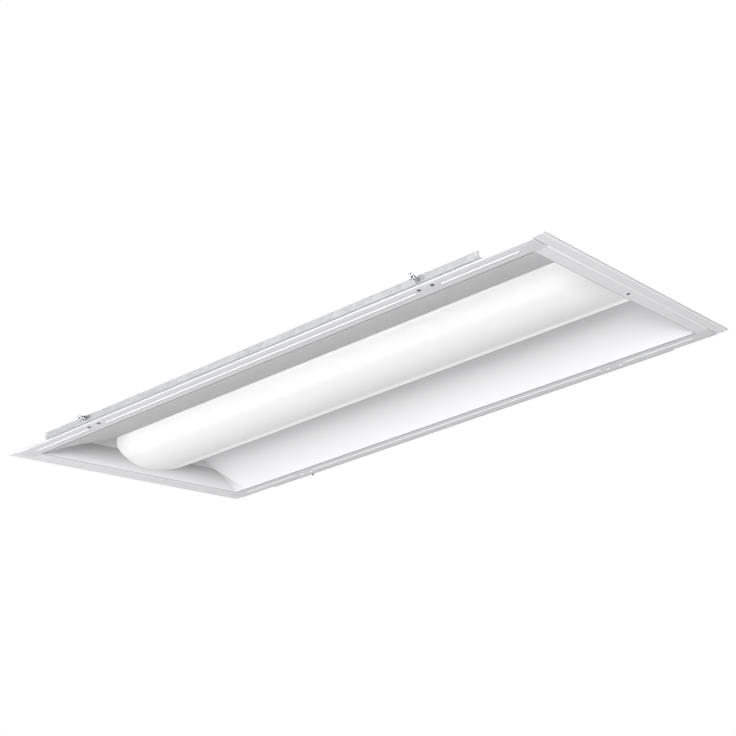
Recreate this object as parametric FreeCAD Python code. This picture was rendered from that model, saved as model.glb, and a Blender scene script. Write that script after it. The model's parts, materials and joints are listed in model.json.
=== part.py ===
import FreeCAD, Part
import math
import os

# Recessed ceiling troffer with a centre lens, modelled face down.
# X runs along the length, Y across, Z up into the ceiling. The origin is the centre of the
# lowest plane, the crests of the stamped beads. All sizes are in millimetres.

# Overall size of the face
LENGTH = 1213.0
WIDTH = 603.0
LONG_BAND = 42.0
END_BAND = 45.3
FLANGE_WIDTH = 22.0
CORNER_GAP = 0.8

# Sheet metal
FRAME_SHEET = 0.8
REFLECTOR_SHEET = 0.8
TRAY_SHEET = 1.0
STRAP_SHEET = 1.2
RAIL_SHEET = 1.2
FIT = 0.2

# How far a cutting solid runs past what it cuts
CUT = 1.0

# Small round pieces are drawn with flats, which keeps the facets few. This is how far the middle
# of a flat lies inside the circle.
FLAT_DEPTH = 0.07

# Stamped bead and edges of the frame
BEAD_DROP = 0.8
BEAD_WIDTH = 3.6
BEAD_CREST = 1.2
BEAD_INSET = 21.5
BEAD_CORNER_STOP = 38.0
BEAD_SCREW_STOP = 13.0
EDGE_HEIGHT = 3.5
FLANGE_STEP = 1.2
LIP_WIDTH = 4.0
LIP_RISE = 1.4
STRAP_INSET = 1.5
STRAP_WIDTH = 19.0
STRAP_REACH = 12.0
STRAP_CLEARANCE = 1.5

# Reflector wings, end plates and lens
LENS_HALF_WIDTH = 110.4
LENS_EDGE_HEIGHT = 46.5
LENS_BOTTOM_HEIGHT = 9.0
LENS_WALL = 2.0
LENS_HEM = 7.0
CROWN_ANGLE = 25.0
HAUNCH_ANGLE = 66.0
LENS_GAP = 0.8
LENS_END_GAP = 1.0
WING_LENS_OVERLAP = 0.6
WING_BOW = 1.6
WING_FLANGE = 10.0
END_RUN_PER_RISE = 0.86
END_FLANGE = 19.0
END_TOP_FLANGE = 14.0
END_SIDE_COVER = 4.0

# Light tray on the back
TRAY_HEIGHT = 56.0
TRAY_LEDGE = 12.0
TRAY_SIDE = 12.0
LEAD_HOLE_RADIUS = 6.0

# Light boards
BOARD_ROW_Y = 48.0
BOARD_WIDTH = 24.0
BOARD_THICKNESS = 1.6
BOARD_END_MARGIN = 20.0
BOARD_JOINT = 4.0
DIODES_PER_BOARD = 12
DIODE_SIZE = 3.5
DIODE_HEIGHT = 0.8
LINK_SIZE = (14.0, 7.0, 4.0)
LINK_RIB = 0.6
BOARD_SCREW_INSET = 8.0

# Lens clips
CLIPS_PER_SIDE = 4
CLIP_WIDTH = 16.0
CLIP_SHEET = 0.5
CLIP_FOOT = 9.0
CLIP_DROP = 7.0
CLIP_LIP_IN = 2.0
CLIP_LIP_DROP = 3.0

# Wiring bay on top of the tray; its length follows from what stands in it
BAY_WIDTH = 124.0
BAY_HEIGHT = 42.0
BAY_FOOT = 12.0
KNOCKOUT_RADIUS = 11.1
KNOCKOUT_CLEARANCE = 1.5
COVER_SHEET = 0.8
COVER_FOOT = 12.0
COVER_SCREW_INSET = 18.0
DRIVER_LENGTH = 260.0
DRIVER_WIDTH = 62.0
DRIVER_HEIGHT = 26.0
DRIVER_EDGE = 3.0
DRIVER_TAB = 12.0
DRIVER_TAB_HALF = 15.5
DRIVER_GAP = 12.0
TERMINAL_SIZE = (24.0, 34.0, 14.0)
TERMINAL_Y = 32.0
TERMINAL_GAP = 4.0
TERMINAL_PORTS = 3
PORT_RADIUS = 2.2
PORT_DEPTH = 8.0
GROUND_Y = 30.0
GROUND_GAP = 17.4
GROUND_END_GAP = 19.2
GROUND_FLANGE = 0.6
GROUND_FLANGE_RADIUS = 3.8
BUSHING_WALL = 1.5
BUSHING_RIM = 1.8
BUSHING_HEAD = 1.2
BUSHING_TAIL = 1.5
BUSHING_GAP = 20.2

# Cross braces
BRACE_X = 300.0
BRACE_WIDTH = 25.0
BRACE_FOOT = 14.0
BRACE_CLEARANCE = 2.0
HANGER_Y = 90.0
HANGER_RADIUS = 3.2

# Side rails, their brackets and wing nuts
SCREW_INNER_X = 367.5
SCREW_OUTER_X = 393.1
SCREW_INSET = 13.5
RAIL_LENGTH = 986.0
NEAR_RAIL_SHIFT = 3.0
RAIL_GAP = 0.5
RAIL_LEG = 6.7
RAIL_HEIGHT = 11.2
RAIL_BASE = 1.4
RAIL_END_HOLE_INSET = 6.0
RAIL_END_HOLE_RADIUS = 2.1
RAIL_TRAVEL = 12.0
BRACKET_LENGTH = 44.0
BRACKET_FOOT = 17.0
BRACKET_TOP = 14.0
BOLT_RADIUS = 1.95
BOLT_CLEARANCE = 0.3
BOLT_HEIGHT = 9.2
BOLT_HEAD_FLATS = 7.0
BOLT_HEAD = 2.8
BOLT_PROJECTION = 4.0
WASHER_RADIUS = 4.5
WASHER_THICKNESS = 0.8
NUT_HUB_RADIUS = 4.2
NUT_HUB_HEIGHT = 4.6
NUT_FOOT_HEIGHT = 1.4
NUT_TOP_RADIUS = 3.3
EAR_RADIUS = 4.6
EAR_REACH = 8.2
EAR_THICKNESS = 1.5
EAR_NECK = 2.85
EAR_SEAT = 1.6
DISH_RADIUS = 3.1
DISH_DEPTH = 0.6
EAR_SWEEP = 18.0
NUT_CLEARANCE = 0.05
NEAR_LEFT_TURN = 22.0
NEAR_RIGHT_TURN = 46.0
FAR_LEFT_TURN = -38.0
FAR_RIGHT_TURN = 8.0

# Small screws
SCREW_HEAD_RADIUS = 3.4
SCREW_HEAD_HEIGHT = 0.7
SCREW_RADIUS = 1.95
SCREW_GRIP = 6.0
CROSS_ARM = 1.9
CROSS_HALF_WIDTH = 0.4
CROSS_DEPTH = 0.35
PAN_HEAD_RADIUS = 2.8
PAN_HEAD_HEIGHT = 1.8
PAN_RADIUS = 1.45
PAN_END = 2.0

# Places worked out from the sizes above
FACE = BEAD_DROP
HALF_L = LENGTH / 2
HALF_W = WIDTH / 2
OPEN_X = HALF_L - END_BAND
OPEN_Y = HALF_W - LONG_BAND
STEP_X = HALF_L - FLANGE_WIDTH
BAND_TOP = FACE + FRAME_SHEET
BEAD_Y = HALF_W - BEAD_INSET
SCREW_Y = HALF_W - SCREW_INSET
BRACKET_X = (SCREW_INNER_X + SCREW_OUTER_X) / 2
TRAY_Z = FACE + TRAY_HEIGHT
TRAY_TOP = TRAY_Z + TRAY_SHEET
LENS_EDGE_Z = FACE + LENS_EDGE_HEIGHT
WING_EDGE_Y = LENS_HALF_WIDTH + LENS_GAP
WING_EDGE_Z = LENS_EDGE_Z + WING_LENS_OVERLAP
TRAY_HALF_WIDTH = WING_EDGE_Y + REFLECTOR_SHEET + TRAY_LEDGE
SCREW_HEAD_BOTTOM = FACE - SCREW_HEAD_HEIGHT
RAIL_IN_Y = HALF_W + RAIL_GAP
RAIL_OUT_Y = RAIL_IN_Y + RAIL_LEG
RAIL_Z = FACE + RAIL_BASE
END_FLANGE_HALF_WIDTH = OPEN_Y - STRAP_REACH - STRAP_CLEARANCE
BRACKET_OUT_Y = RAIL_OUT_Y - RAIL_SHEET - FIT / 2
BOLT_Z = FACE + BOLT_HEIGHT
WASHER_Y = RAIL_OUT_Y + NUT_CLEARANCE
NUT_Y = WASHER_Y + WASHER_THICKNESS + NUT_CLEARANCE
BOLT_END_Y = NUT_Y + NUT_HUB_HEIGHT + BOLT_PROJECTION
BRACE_Z = TRAY_TOP + TRAY_SIDE + FIT
KNOCKOUT_Z = BRACE_Z + STRAP_SHEET + KNOCKOUT_CLEARANCE + KNOCKOUT_RADIUS

# Places along the wiring bay, counted from the inside of its left foot
BUSHING_RADIUS = LEAD_HOLE_RADIUS + BUSHING_RIM
TERMINAL_IN = TERMINAL_GAP
DRIVER_IN = TERMINAL_IN + TERMINAL_SIZE[0] + DRIVER_GAP + DRIVER_TAB
LEAD_HOLE_IN = DRIVER_IN + DRIVER_LENGTH + DRIVER_TAB + BUSHING_GAP + BUSHING_RADIUS
GROUND_IN = LEAD_HOLE_IN + BUSHING_RADIUS + GROUND_GAP + GROUND_FLANGE_RADIUS
BAY_INSIDE = GROUND_IN + GROUND_FLANGE_RADIUS + GROUND_END_GAP
BAY_LENGTH = BAY_INSIDE + 2 * (BAY_FOOT + COVER_SHEET + FIT)
TERMINAL_X = TERMINAL_IN - BAY_INSIDE / 2
DRIVER_X = DRIVER_IN - BAY_INSIDE / 2
LEAD_HOLE_X = LEAD_HOLE_IN - BAY_INSIDE / 2
GROUND_X = GROUND_IN - BAY_INSIDE / 2
X_AXIS = FreeCAD.Vector(1, 0, 0)
Y_AXIS = FreeCAD.Vector(0, 1, 0)
Z_AXIS = FreeCAD.Vector(0, 0, 1)
CENTRE = FreeCAD.Vector(0, 0, 0)


def at_yz(y, z):
    return FreeCAD.Vector(0, y, z)


def at_xz(x, z):
    return FreeCAD.Vector(x, 0, z)


def wire(start, steps, place, closed=False):
    """A wire from start through steps: (a, b) is a line's end, (mid, end) an arc's points."""
    edges = []
    here = start
    for step in steps:
        if isinstance(step[0], tuple):
            middle, end = step
            edges.append(Part.Arc(place(*here), place(*middle), place(*end)).toShape())
        else:
            end = step
            edges.append(Part.makeLine(place(*here), place(*end)))
        here = end
    if closed:
        edges.append(Part.makeLine(place(*here), place(*start)))
    return Part.Wire(edges)


def folded_x(start, steps, thickness, low_x, high_x):
    """A folded sheet of constant section in YZ; positive thickness lies right of the path."""
    face = wire(start, steps, at_yz).makeOffset2D(thickness, 2, True, True, False)
    sheet = face.extrude(X_AXIS * (high_x - low_x))
    sheet.translate(X_AXIS * low_x)
    return sheet


def folded_y(start, steps, thickness, low_y, high_y):
    """A folded sheet of constant section in XZ; positive thickness lies left of the path."""
    face = wire(start, steps, at_xz).makeOffset2D(thickness, 2, True, True, False)
    sheet = face.extrude(Y_AXIS * (high_y - low_y))
    sheet.translate(Y_AXIS * low_y)
    return sheet


def box(low, high):
    """A box between two corners."""
    size = [high[axis] - low[axis] for axis in range(3)]
    return Part.makeBox(size[0], size[1], size[2], FreeCAD.Vector(*low))


def rod(radius, start, end):
    """A round rod between two points."""
    low = FreeCAD.Vector(*start)
    along = FreeCAD.Vector(*end) - low
    return Part.makeCylinder(radius, along.Length, low, along)


def ring(radius, centre, along, sides):
    """A closed polygon about a centre, square to a direction."""
    turn = FreeCAD.Rotation(Z_AXIS, along)
    corners = []
    for index in range(sides + 1):
        angle = 2 * math.pi * index / sides
        spoke = FreeCAD.Vector(radius * math.cos(angle), radius * math.sin(angle), 0)
        corners.append(centre + turn.multVec(spoke))
    return Part.makePolygon(corners)


def flats(radius):
    """How many flats a small round of this radius is drawn with."""
    return math.ceil(math.pi / math.acos(1 - FLAT_DEPTH / radius))


def pin(radius, start, end):
    """A small round piece between two points, drawn with flats."""
    low = FreeCAD.Vector(*start)
    along = FreeCAD.Vector(*end) - low
    return Part.Face(ring(radius, low, along, flats(radius))).extrude(along)


def tapered_pin(low_radius, high_radius, start, end):
    """A pin that narrows from its start to its end."""
    low = FreeCAD.Vector(*start)
    high = FreeCAD.Vector(*end)
    sides = flats(low_radius)
    outlines = [ring(low_radius, low, high - low, sides), ring(high_radius, high, high - low, sides)]
    return Part.makeLoft(outlines, True, True)


def other_side(shape, normal):
    """The mirror image of a shape in the plane through the origin."""
    return shape.mirror(CENTRE, normal)


def centred(span, count):
    """Evenly spaced places along a span centred on zero, half a pitch in from its ends."""
    pitch = span / count
    return [-span / 2 + pitch * (index + 0.5) for index in range(count)]


def end_plane_x(z):
    """X of the end plate's inner face at a height."""
    return OPEN_X - END_RUN_PER_RISE * (z - BAND_TOP)


def between_end_plates(clearance):
    """The space between the two sloping end plates, for cutting what meets them."""
    low = FACE - TRAY_SIDE
    high = TRAY_Z + TRAY_SIDE
    span = HALF_W
    points = [
        (-end_plane_x(low) + clearance, low),
        (end_plane_x(low) - clearance, low),
        (end_plane_x(high) - clearance, high),
        (-end_plane_x(high) + clearance, high),
    ]
    face = Part.Face(wire(points[0], points[1:], at_xz, closed=True))
    space = face.extrude(Y_AXIS * (2 * span))
    space.translate(Y_AXIS * -span)
    return space


def tapered_bar(low, high, base_z, crest_z, draw):
    """A long bar in XY between two heights, whose four sides slope inwards by draw at the crest."""
    outlines = []
    for inset, z in ((0, base_z), (draw, crest_z)):
        corners = [
            (low[0] + inset, low[1] + inset, z),
            (high[0] - inset, low[1] + inset, z),
            (high[0] - inset, high[1] - inset, z),
            (low[0] + inset, high[1] - inset, z),
        ]
        outlines.append(Part.makePolygon([FreeCAD.Vector(*corner) for corner in corners + corners[:1]]))
    return Part.makeLoft(outlines, True, True)


def bead(start_x, end_x, y):
    """A stamped bead along X: the flat-crested rib under the sheet and the groove behind it."""
    half = BEAD_WIDTH / 2
    draw = half - BEAD_CREST / 2
    crest = FACE - BEAD_DROP
    rib = tapered_bar((start_x - half, y - half), (end_x + half, y + half), FACE, crest, draw)
    slope = math.atan2(BEAD_DROP, draw)
    reach = half - FRAME_SHEET * math.tan(slope / 2)
    low = (start_x - reach, y - reach)
    high = (end_x + reach, y + reach)
    return rib, tapered_bar(low, high, BAND_TOP, crest + FRAME_SHEET, draw)


def screw_places():
    """X of the bracket screws along one long rail."""
    return [side * x for side in (-1, 1) for x in (SCREW_INNER_X, SCREW_OUTER_X)]


def long_rail():
    """Far long rail: flat band with stamped beads, a turned-up outer edge and screw holes."""
    rail = folded_x(
        (OPEN_Y, FACE),
        [(HALF_W, FACE), (HALF_W, FACE + EDGE_HEIGHT)],
        -FRAME_SHEET,
        -STEP_X + CORNER_GAP,
        STEP_X - CORNER_GAP,
    )
    middle_end = SCREW_INNER_X - BEAD_SCREW_STOP
    outer_start = SCREW_OUTER_X + BEAD_SCREW_STOP
    outer_end = STEP_X - BEAD_CORNER_STOP
    for low, high in (
        (-outer_end, -outer_start),
        (-middle_end, middle_end),
        (outer_start, outer_end),
    ):
        rib, groove = bead(low, high, BEAD_Y)
        rail = rail.fuse(rib).cut(groove)
    for x in screw_places():
        rail = rail.cut(pin(SCREW_RADIUS + FIT, (x, SCREW_Y, 0), (x, SCREW_Y, BAND_TOP + CUT)))
    return rail.removeSplitter()


def end_rail():
    """Right end rail: inner band between the long rails, stepped flange with a raised lip."""
    lip_x = HALF_L - LIP_WIDTH
    flange = FACE + FLANGE_STEP
    sheet = folded_y(
        (OPEN_X, FACE),
        [
            (STEP_X, FACE),
            (STEP_X + FLANGE_STEP, flange),
            (lip_x, flange),
            (HALF_L, flange + LIP_RISE),
        ],
        FRAME_SHEET,
        -HALF_W,
        HALF_W,
    )
    for side in (-1, 1):
        ys = sorted((side * (OPEN_Y - FIT), side * (HALF_W + CUT)))
        low = (OPEN_X - CUT, ys[0], 0)
        high = (STEP_X + FLANGE_STEP, ys[1], flange + FRAME_SHEET + CUT)
        sheet = sheet.cut(box(low, high))
    hole = pin(SCREW_RADIUS + FIT, (end_screw_x(), 0, 0), (end_screw_x(), 0, BAND_TOP + CUT))
    return sheet.cut(hole)


def end_screw_x():
    """X of the screw in the middle of the right end rail."""
    return OPEN_X + (END_BAND - FLANGE_WIDTH) / 2


def corner_strap(side_x, side_y):
    """Flat strap welded across a butt joint of the frame, with a tongue behind the flange gap."""
    x_outer = STEP_X - CORNER_GAP - STRAP_INSET
    x_inner = x_outer - STRAP_WIDTH
    y_outer = HALF_W - FRAME_SHEET - STRAP_INSET
    plate = ((x_inner, x_outer), (OPEN_Y - STRAP_REACH, y_outer))
    tongue = ((x_outer, STEP_X + FLANGE_STEP - FIT), (OPEN_Y + FIT, y_outer))
    sheets = []
    for x_span, y_span in (plate, tongue):
        xs = sorted(side_x * x for x in x_span)
        ys = sorted(side_y * y for y in y_span)
        sheets.append(box((xs[0], ys[0], BAND_TOP), (xs[1], ys[1], BAND_TOP + FRAME_SHEET)))
    return sheets[0].fuse(sheets[1]).removeSplitter().Solids[0]


def wing_middle():
    """The point that bows the wing's section between the frame and the lens edge."""
    y = (OPEN_Y + WING_EDGE_Y) / 2
    z = (BAND_TOP + WING_EDGE_Z) / 2
    run = OPEN_Y - WING_EDGE_Y
    rise = WING_EDGE_Z - BAND_TOP
    chord = math.hypot(run, rise)
    return y + WING_BOW * rise / chord, z + WING_BOW * run / chord


def reflector_wing():
    """Far reflector wing: flange on the rail, bowed slope, return and ledge for the tray."""
    wing = folded_x(
        (OPEN_Y + WING_FLANGE, BAND_TOP),
        [
            (OPEN_Y, BAND_TOP),
            (wing_middle(), (WING_EDGE_Y, WING_EDGE_Z)),
            (WING_EDGE_Y, TRAY_Z),
            (TRAY_HALF_WIDTH, TRAY_Z),
        ],
        REFLECTOR_SHEET,
        -OPEN_X,
        OPEN_X,
    )
    return wing.common(between_end_plates(FIT))


def end_plate():
    """Right end plate: flange on the end rail, slope up to the tray, ledge under the tray."""
    top = TRAY_Z - REFLECTOR_SHEET
    top_x = end_plane_x(top)
    sheet = folded_y(
        (OPEN_X + END_FLANGE, BAND_TOP),
        [(OPEN_X, BAND_TOP), (top_x, top), (top_x - END_TOP_FLANGE, top)],
        -REFLECTOR_SHEET,
        -OPEN_Y,
        OPEN_Y,
    )
    outline = [
        (-OPEN_Y + FIT, 0),
        (OPEN_Y - FIT, 0),
        (OPEN_Y - FIT, BAND_TOP + END_SIDE_COVER),
        (TRAY_HALF_WIDTH, WING_EDGE_Z + END_SIDE_COVER),
        (TRAY_HALF_WIDTH, TRAY_Z),
        (-TRAY_HALF_WIDTH, TRAY_Z),
        (-TRAY_HALF_WIDTH, WING_EDGE_Z + END_SIDE_COVER),
        (-OPEN_Y + FIT, BAND_TOP + END_SIDE_COVER),
    ]
    face = Part.Face(wire(outline[0], outline[1:], at_yz, closed=True))
    sheet = sheet.common(face.extrude(X_AXIS * HALF_L))
    ledge_half = WING_EDGE_Y - LENS_GAP - LENS_WALL - CLIP_SHEET - 2 * FIT
    flange_start = OPEN_X + 1.5 * REFLECTOR_SHEET
    flange_top = BAND_TOP + REFLECTOR_SHEET + CUT
    for side in (-1, 1):
        flange_y = sorted((side * END_FLANGE_HALF_WIDTH, side * HALF_W))
        sheet = sheet.cut(box((flange_start, flange_y[0], 0), (HALF_L, flange_y[1], flange_top)))
        ledge_y = sorted((side * ledge_half, side * HALF_W))
        ledge_low = (0, ledge_y[0], top - END_SIDE_COVER / 2)
        sheet = sheet.cut(box(ledge_low, (top_x - FIT, ledge_y[1], TRAY_Z + CUT)))
    hole = pin(SCREW_RADIUS + FIT, (end_screw_x(), 0, 0), (end_screw_x(), 0, flange_top))
    return sheet.cut(hole)


def haunch_radii():
    """Crown and haunch radii of the lens section, from its width, depth and two angles."""
    crown = math.radians(CROWN_ANGLE)
    haunch = math.radians(HAUNCH_ANGLE)
    depth = LENS_EDGE_HEIGHT - LENS_BOTTOM_HEIGHT
    a, b = math.sin(crown), math.sin(haunch) - math.sin(crown)
    c, d = 1 - math.cos(crown), math.cos(crown) - math.cos(haunch)
    scale = a * d - b * c
    crown_radius = (LENS_HALF_WIDTH * d - depth * b) / scale
    haunch_radius = (depth * a - LENS_HALF_WIDTH * c) / scale
    return crown_radius, haunch_radius


def lens_point(angle):
    """Point on the lens's outer face where its slope has the given angle, on the far half."""
    crown_radius, haunch_radius = haunch_radii()
    crown = math.radians(CROWN_ANGLE)
    turn = math.radians(angle)
    bottom = FACE + LENS_BOTTOM_HEIGHT
    if angle <= CROWN_ANGLE:
        return crown_radius * math.sin(turn), bottom + crown_radius * (1 - math.cos(turn))
    y = crown_radius * math.sin(crown) + haunch_radius * (math.sin(turn) - math.sin(crown))
    rise = crown_radius * (1 - math.cos(crown)) + haunch_radius * (math.cos(crown) - math.cos(turn))
    return y, bottom + rise


def lens():
    """Translucent lens: crowned section of three arcs with upright hems, ends cut to the plates."""
    middle_angle = (CROWN_ANGLE + HAUNCH_ANGLE) / 2
    crown_y, crown_z = lens_point(CROWN_ANGLE)
    haunch_y, haunch_z = lens_point(middle_angle)
    edge_y, edge_z = lens_point(HAUNCH_ANGLE)
    bottom = FACE + LENS_BOTTOM_HEIGHT
    shell = folded_x(
        (-edge_y, edge_z + LENS_HEM),
        [
            (-edge_y, edge_z),
            ((-haunch_y, haunch_z), (-crown_y, crown_z)),
            ((0, bottom), (crown_y, crown_z)),
            ((haunch_y, haunch_z), (edge_y, edge_z)),
            (edge_y, edge_z + LENS_HEM),
        ],
        -LENS_WALL,
        -OPEN_X,
        OPEN_X,
    )
    return shell.common(between_end_plates(LENS_END_GAP))


def tray_end_x():
    """X where the tray ends, over the top of the sloping end plate."""
    return end_plane_x(TRAY_Z)


def light_tray():
    """Channel that closes the back between the wings and carries boards and driver."""
    end = tray_end_x()
    tray = folded_x(
        (-TRAY_HALF_WIDTH, TRAY_TOP + TRAY_SIDE),
        [
            (-TRAY_HALF_WIDTH, TRAY_Z),
            (TRAY_HALF_WIDTH, TRAY_Z),
            (TRAY_HALF_WIDTH, TRAY_TOP + TRAY_SIDE),
        ],
        -TRAY_SHEET,
        -end,
        end,
    )
    low = TRAY_Z - CUT
    high = TRAY_TOP + CUT
    tray = tray.cut(rod(LEAD_HOLE_RADIUS, (LEAD_HOLE_X, 0, low), (LEAD_HOLE_X, 0, high)))
    places = board_screw_places() + cover_screw_places() + driver_screw_places()
    for x, y in places + [(GROUND_X, GROUND_Y)]:
        tray = tray.cut(pin(PAN_RADIUS + FIT, (x, y, low), (x, y, high)))
    return tray


def board_span():
    """Low and high X of a board on the right half."""
    return BOARD_JOINT / 2, tray_end_x() - BOARD_END_MARGIN


def board_screw_places():
    """X and Y of every screw through the light boards."""
    low, high = board_span()
    places = []
    for side_x in (-1, 1):
        for x in (low + BOARD_SCREW_INSET, (low + high) / 2, high - BOARD_SCREW_INSET):
            for side_y in (-1, 1):
                places.append((side_x * x, side_y * BOARD_ROW_Y))
    return places


def light_board(side_x, side_y):
    """One light board under the tray, with its screw holes."""
    low, high = board_span()
    xs = sorted((side_x * low, side_x * high))
    y = side_y * BOARD_ROW_Y
    half = BOARD_WIDTH / 2
    board = box((xs[0], y - half, TRAY_Z - BOARD_THICKNESS), (xs[1], y + half, TRAY_Z))
    for x, screw_y in board_screw_places():
        if x * side_x > 0 and screw_y * side_y > 0:
            start = (x, screw_y, TRAY_Z - BOARD_THICKNESS - CUT)
            board = board.cut(pin(PAN_RADIUS + FIT, start, (x, screw_y, TRAY_Z + CUT)))
    return board


def diodes():
    """Light packages in one row under each board, set between the screws."""
    low, high = board_span()
    half = DIODE_SIZE / 2
    top = TRAY_Z - BOARD_THICKNESS
    solids = []
    for side_x in (-1, 1):
        middle = side_x * (low + high) / 2
        for offset in centred(high - low - 4 * BOARD_SCREW_INSET, DIODES_PER_BOARD):
            for y in (-BOARD_ROW_Y, BOARD_ROW_Y):
                x = middle + offset
                solids.append(box((x - half, y - half, top - DIODE_HEIGHT), (x + half, y + half, top)))
    return Part.makeCompound(solids)


def board_links():
    """Plug bridges across the joint between the two boards of each row."""
    length, width, height = LINK_SIZE
    top = TRAY_Z - BOARD_THICKNESS
    rib_low = top - height - LINK_RIB
    offset = BOARD_WIDTH / 2 - width / 2 - FIT
    solids = []
    for side in (-1, 1):
        y = side * (BOARD_ROW_Y - offset)
        link = box((-length / 2, y - width / 2, top - height), (length / 2, y + width / 2, top))
        rib = box((-length / 4, y - width / 4, rib_low), (length / 4, y + width / 4, top))
        solids.append(link.fuse(rib))
    return Part.makeCompound(solids)


def pan_screw(x, y, seat, end):
    """Pan-head screw on Z whose head rests on a seat and whose shank runs to end."""
    top = seat + PAN_HEAD_HEIGHT if seat > end else seat - PAN_HEAD_HEIGHT
    head = pin(PAN_HEAD_RADIUS, (x, y, seat), (x, y, top))
    return head.fuse(pin(PAN_RADIUS, (x, y, seat), (x, y, end)))


def board_screws():
    """Screws that hold the boards up against the tray."""
    seat = TRAY_Z - BOARD_THICKNESS
    end = TRAY_TOP + PAN_END
    return Part.makeCompound([pan_screw(x, y, seat, end) for x, y in board_screw_places()])


def lens_clips():
    """Spring clips under the tray that press the lens hems outwards."""
    face_y = LENS_HALF_WIDTH - LENS_WALL - FIT
    low = TRAY_Z - CLIP_DROP
    solids = []
    for x in centred(2 * tray_end_x(), CLIPS_PER_SIDE):
        clip = folded_x(
            (face_y - CLIP_FOOT, TRAY_Z),
            [(face_y, TRAY_Z), (face_y, low), (face_y - CLIP_LIP_IN, low - CLIP_LIP_DROP)],
            CLIP_SHEET,
            x - CLIP_WIDTH / 2,
            x + CLIP_WIDTH / 2,
        )
        solids += [clip, other_side(clip, Y_AXIS)]
    return Part.makeCompound(solids)


def bay_end(side):
    """Upright end of the wiring bay with its foot on the tray; the left one has the knockout."""
    x = BAY_LENGTH / 2 - COVER_SHEET - FIT
    half = BAY_WIDTH / 2 - COVER_SHEET - FIT
    top = TRAY_TOP + BAY_HEIGHT - COVER_SHEET - FIT
    end = folded_y(
        (x - BAY_FOOT, TRAY_TOP),
        [(x, TRAY_TOP), (x, top)],
        TRAY_SHEET,
        -half,
        half,
    )
    if side < 0:
        hole = rod(KNOCKOUT_RADIUS, (x - BAY_FOOT, 0, KNOCKOUT_Z), (x + CUT, 0, KNOCKOUT_Z))
        end = other_side(end.cut(hole), X_AXIS)
    return end


def cover_screw_places():
    """X and Y of the captive screws in the driver cover's feet."""
    x = BAY_LENGTH / 2 - COVER_SCREW_INSET
    y = BAY_WIDTH / 2 + COVER_FOOT / 2
    return [(side_x * x, side_y * y) for side_x in (-1, 1) for side_y in (-1, 1)]


def driver_cover():
    """Lift-off cover over the wiring bay, with a foot along each side."""
    half = BAY_WIDTH / 2
    top = TRAY_TOP + BAY_HEIGHT
    foot = TRAY_TOP + FIT + COVER_SHEET
    cover = folded_x(
        (-half - COVER_FOOT, foot),
        [(-half, foot), (-half, top), (half, top), (half, foot), (half + COVER_FOOT, foot)],
        COVER_SHEET,
        -BAY_LENGTH / 2,
        BAY_LENGTH / 2,
    )
    for x, y in cover_screw_places():
        cover = cover.cut(pin(PAN_RADIUS + FIT, (x, y, TRAY_TOP), (x, y, foot + CUT)))
    return cover


def cover_screws():
    """Captive screws in the cover's feet."""
    seat = TRAY_TOP + FIT + COVER_SHEET
    end = TRAY_Z - PAN_END
    return Part.makeCompound([pan_screw(x, y, seat, end) for x, y in cover_screw_places()])


def driver_screw_places():
    """X and Y of the two screws through the driver's tabs."""
    half_tab = DRIVER_TAB / 2
    return [(DRIVER_X - half_tab, 0), (DRIVER_X + DRIVER_LENGTH + half_tab, 0)]


def driver_case():
    """Driver housing with rounded long edges and a slotted tab at each end."""
    high_x = DRIVER_X + DRIVER_LENGTH
    half = DRIVER_WIDTH / 2
    case = box((DRIVER_X, -half, TRAY_TOP), (high_x, half, TRAY_TOP + DRIVER_HEIGHT))
    middle = TRAY_TOP + DRIVER_HEIGHT / 2
    top_edges = [edge for edge in case.Edges if edge.BoundBox.XLength > DRIVER_LENGTH / 2
                 and edge.BoundBox.ZMin > middle]
    case = case.makeFillet(DRIVER_EDGE, top_edges)
    tab = box(
        (DRIVER_X - DRIVER_TAB, -DRIVER_TAB_HALF, TRAY_TOP),
        (high_x + DRIVER_TAB, DRIVER_TAB_HALF, TRAY_TOP + STRAP_SHEET),
    )
    case = case.fuse(tab)
    for x, y in driver_screw_places():
        case = case.cut(pin(PAN_RADIUS + FIT, (x, y, TRAY_TOP - CUT), (x, y, middle)))
    return case.removeSplitter()


def driver_screws():
    """Screws through the driver's tabs into the tray."""
    seat = TRAY_TOP + STRAP_SHEET
    end = TRAY_Z - PAN_END
    return Part.makeCompound([pan_screw(x, y, seat, end) for x, y in driver_screw_places()])


def terminal_block():
    """Push-in terminal block beside the knockout, with three wire ports."""
    length, width, height = TERMINAL_SIZE
    low_y = TERMINAL_Y - width / 2
    middle_z = TRAY_TOP + height / 2
    block = box((TERMINAL_X, low_y, TRAY_TOP), (TERMINAL_X + length, low_y + width, TRAY_TOP + height))
    for offset in centred(width, TERMINAL_PORTS):
        y = TERMINAL_Y + offset
        end = (TERMINAL_X + PORT_DEPTH, y, middle_z)
        block = block.cut(pin(PORT_RADIUS, (TERMINAL_X - CUT, y, middle_z), end))
    return block


def ground_screw():
    """Earth screw with its flange on the tray inside the wiring bay."""
    seat = TRAY_TOP + GROUND_FLANGE
    low = (GROUND_X, GROUND_Y, TRAY_TOP)
    flange = pin(GROUND_FLANGE_RADIUS, low, (GROUND_X, GROUND_Y, seat))
    return pan_screw(GROUND_X, GROUND_Y, seat, TRAY_Z - PAN_END).fuse(flange)


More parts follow.
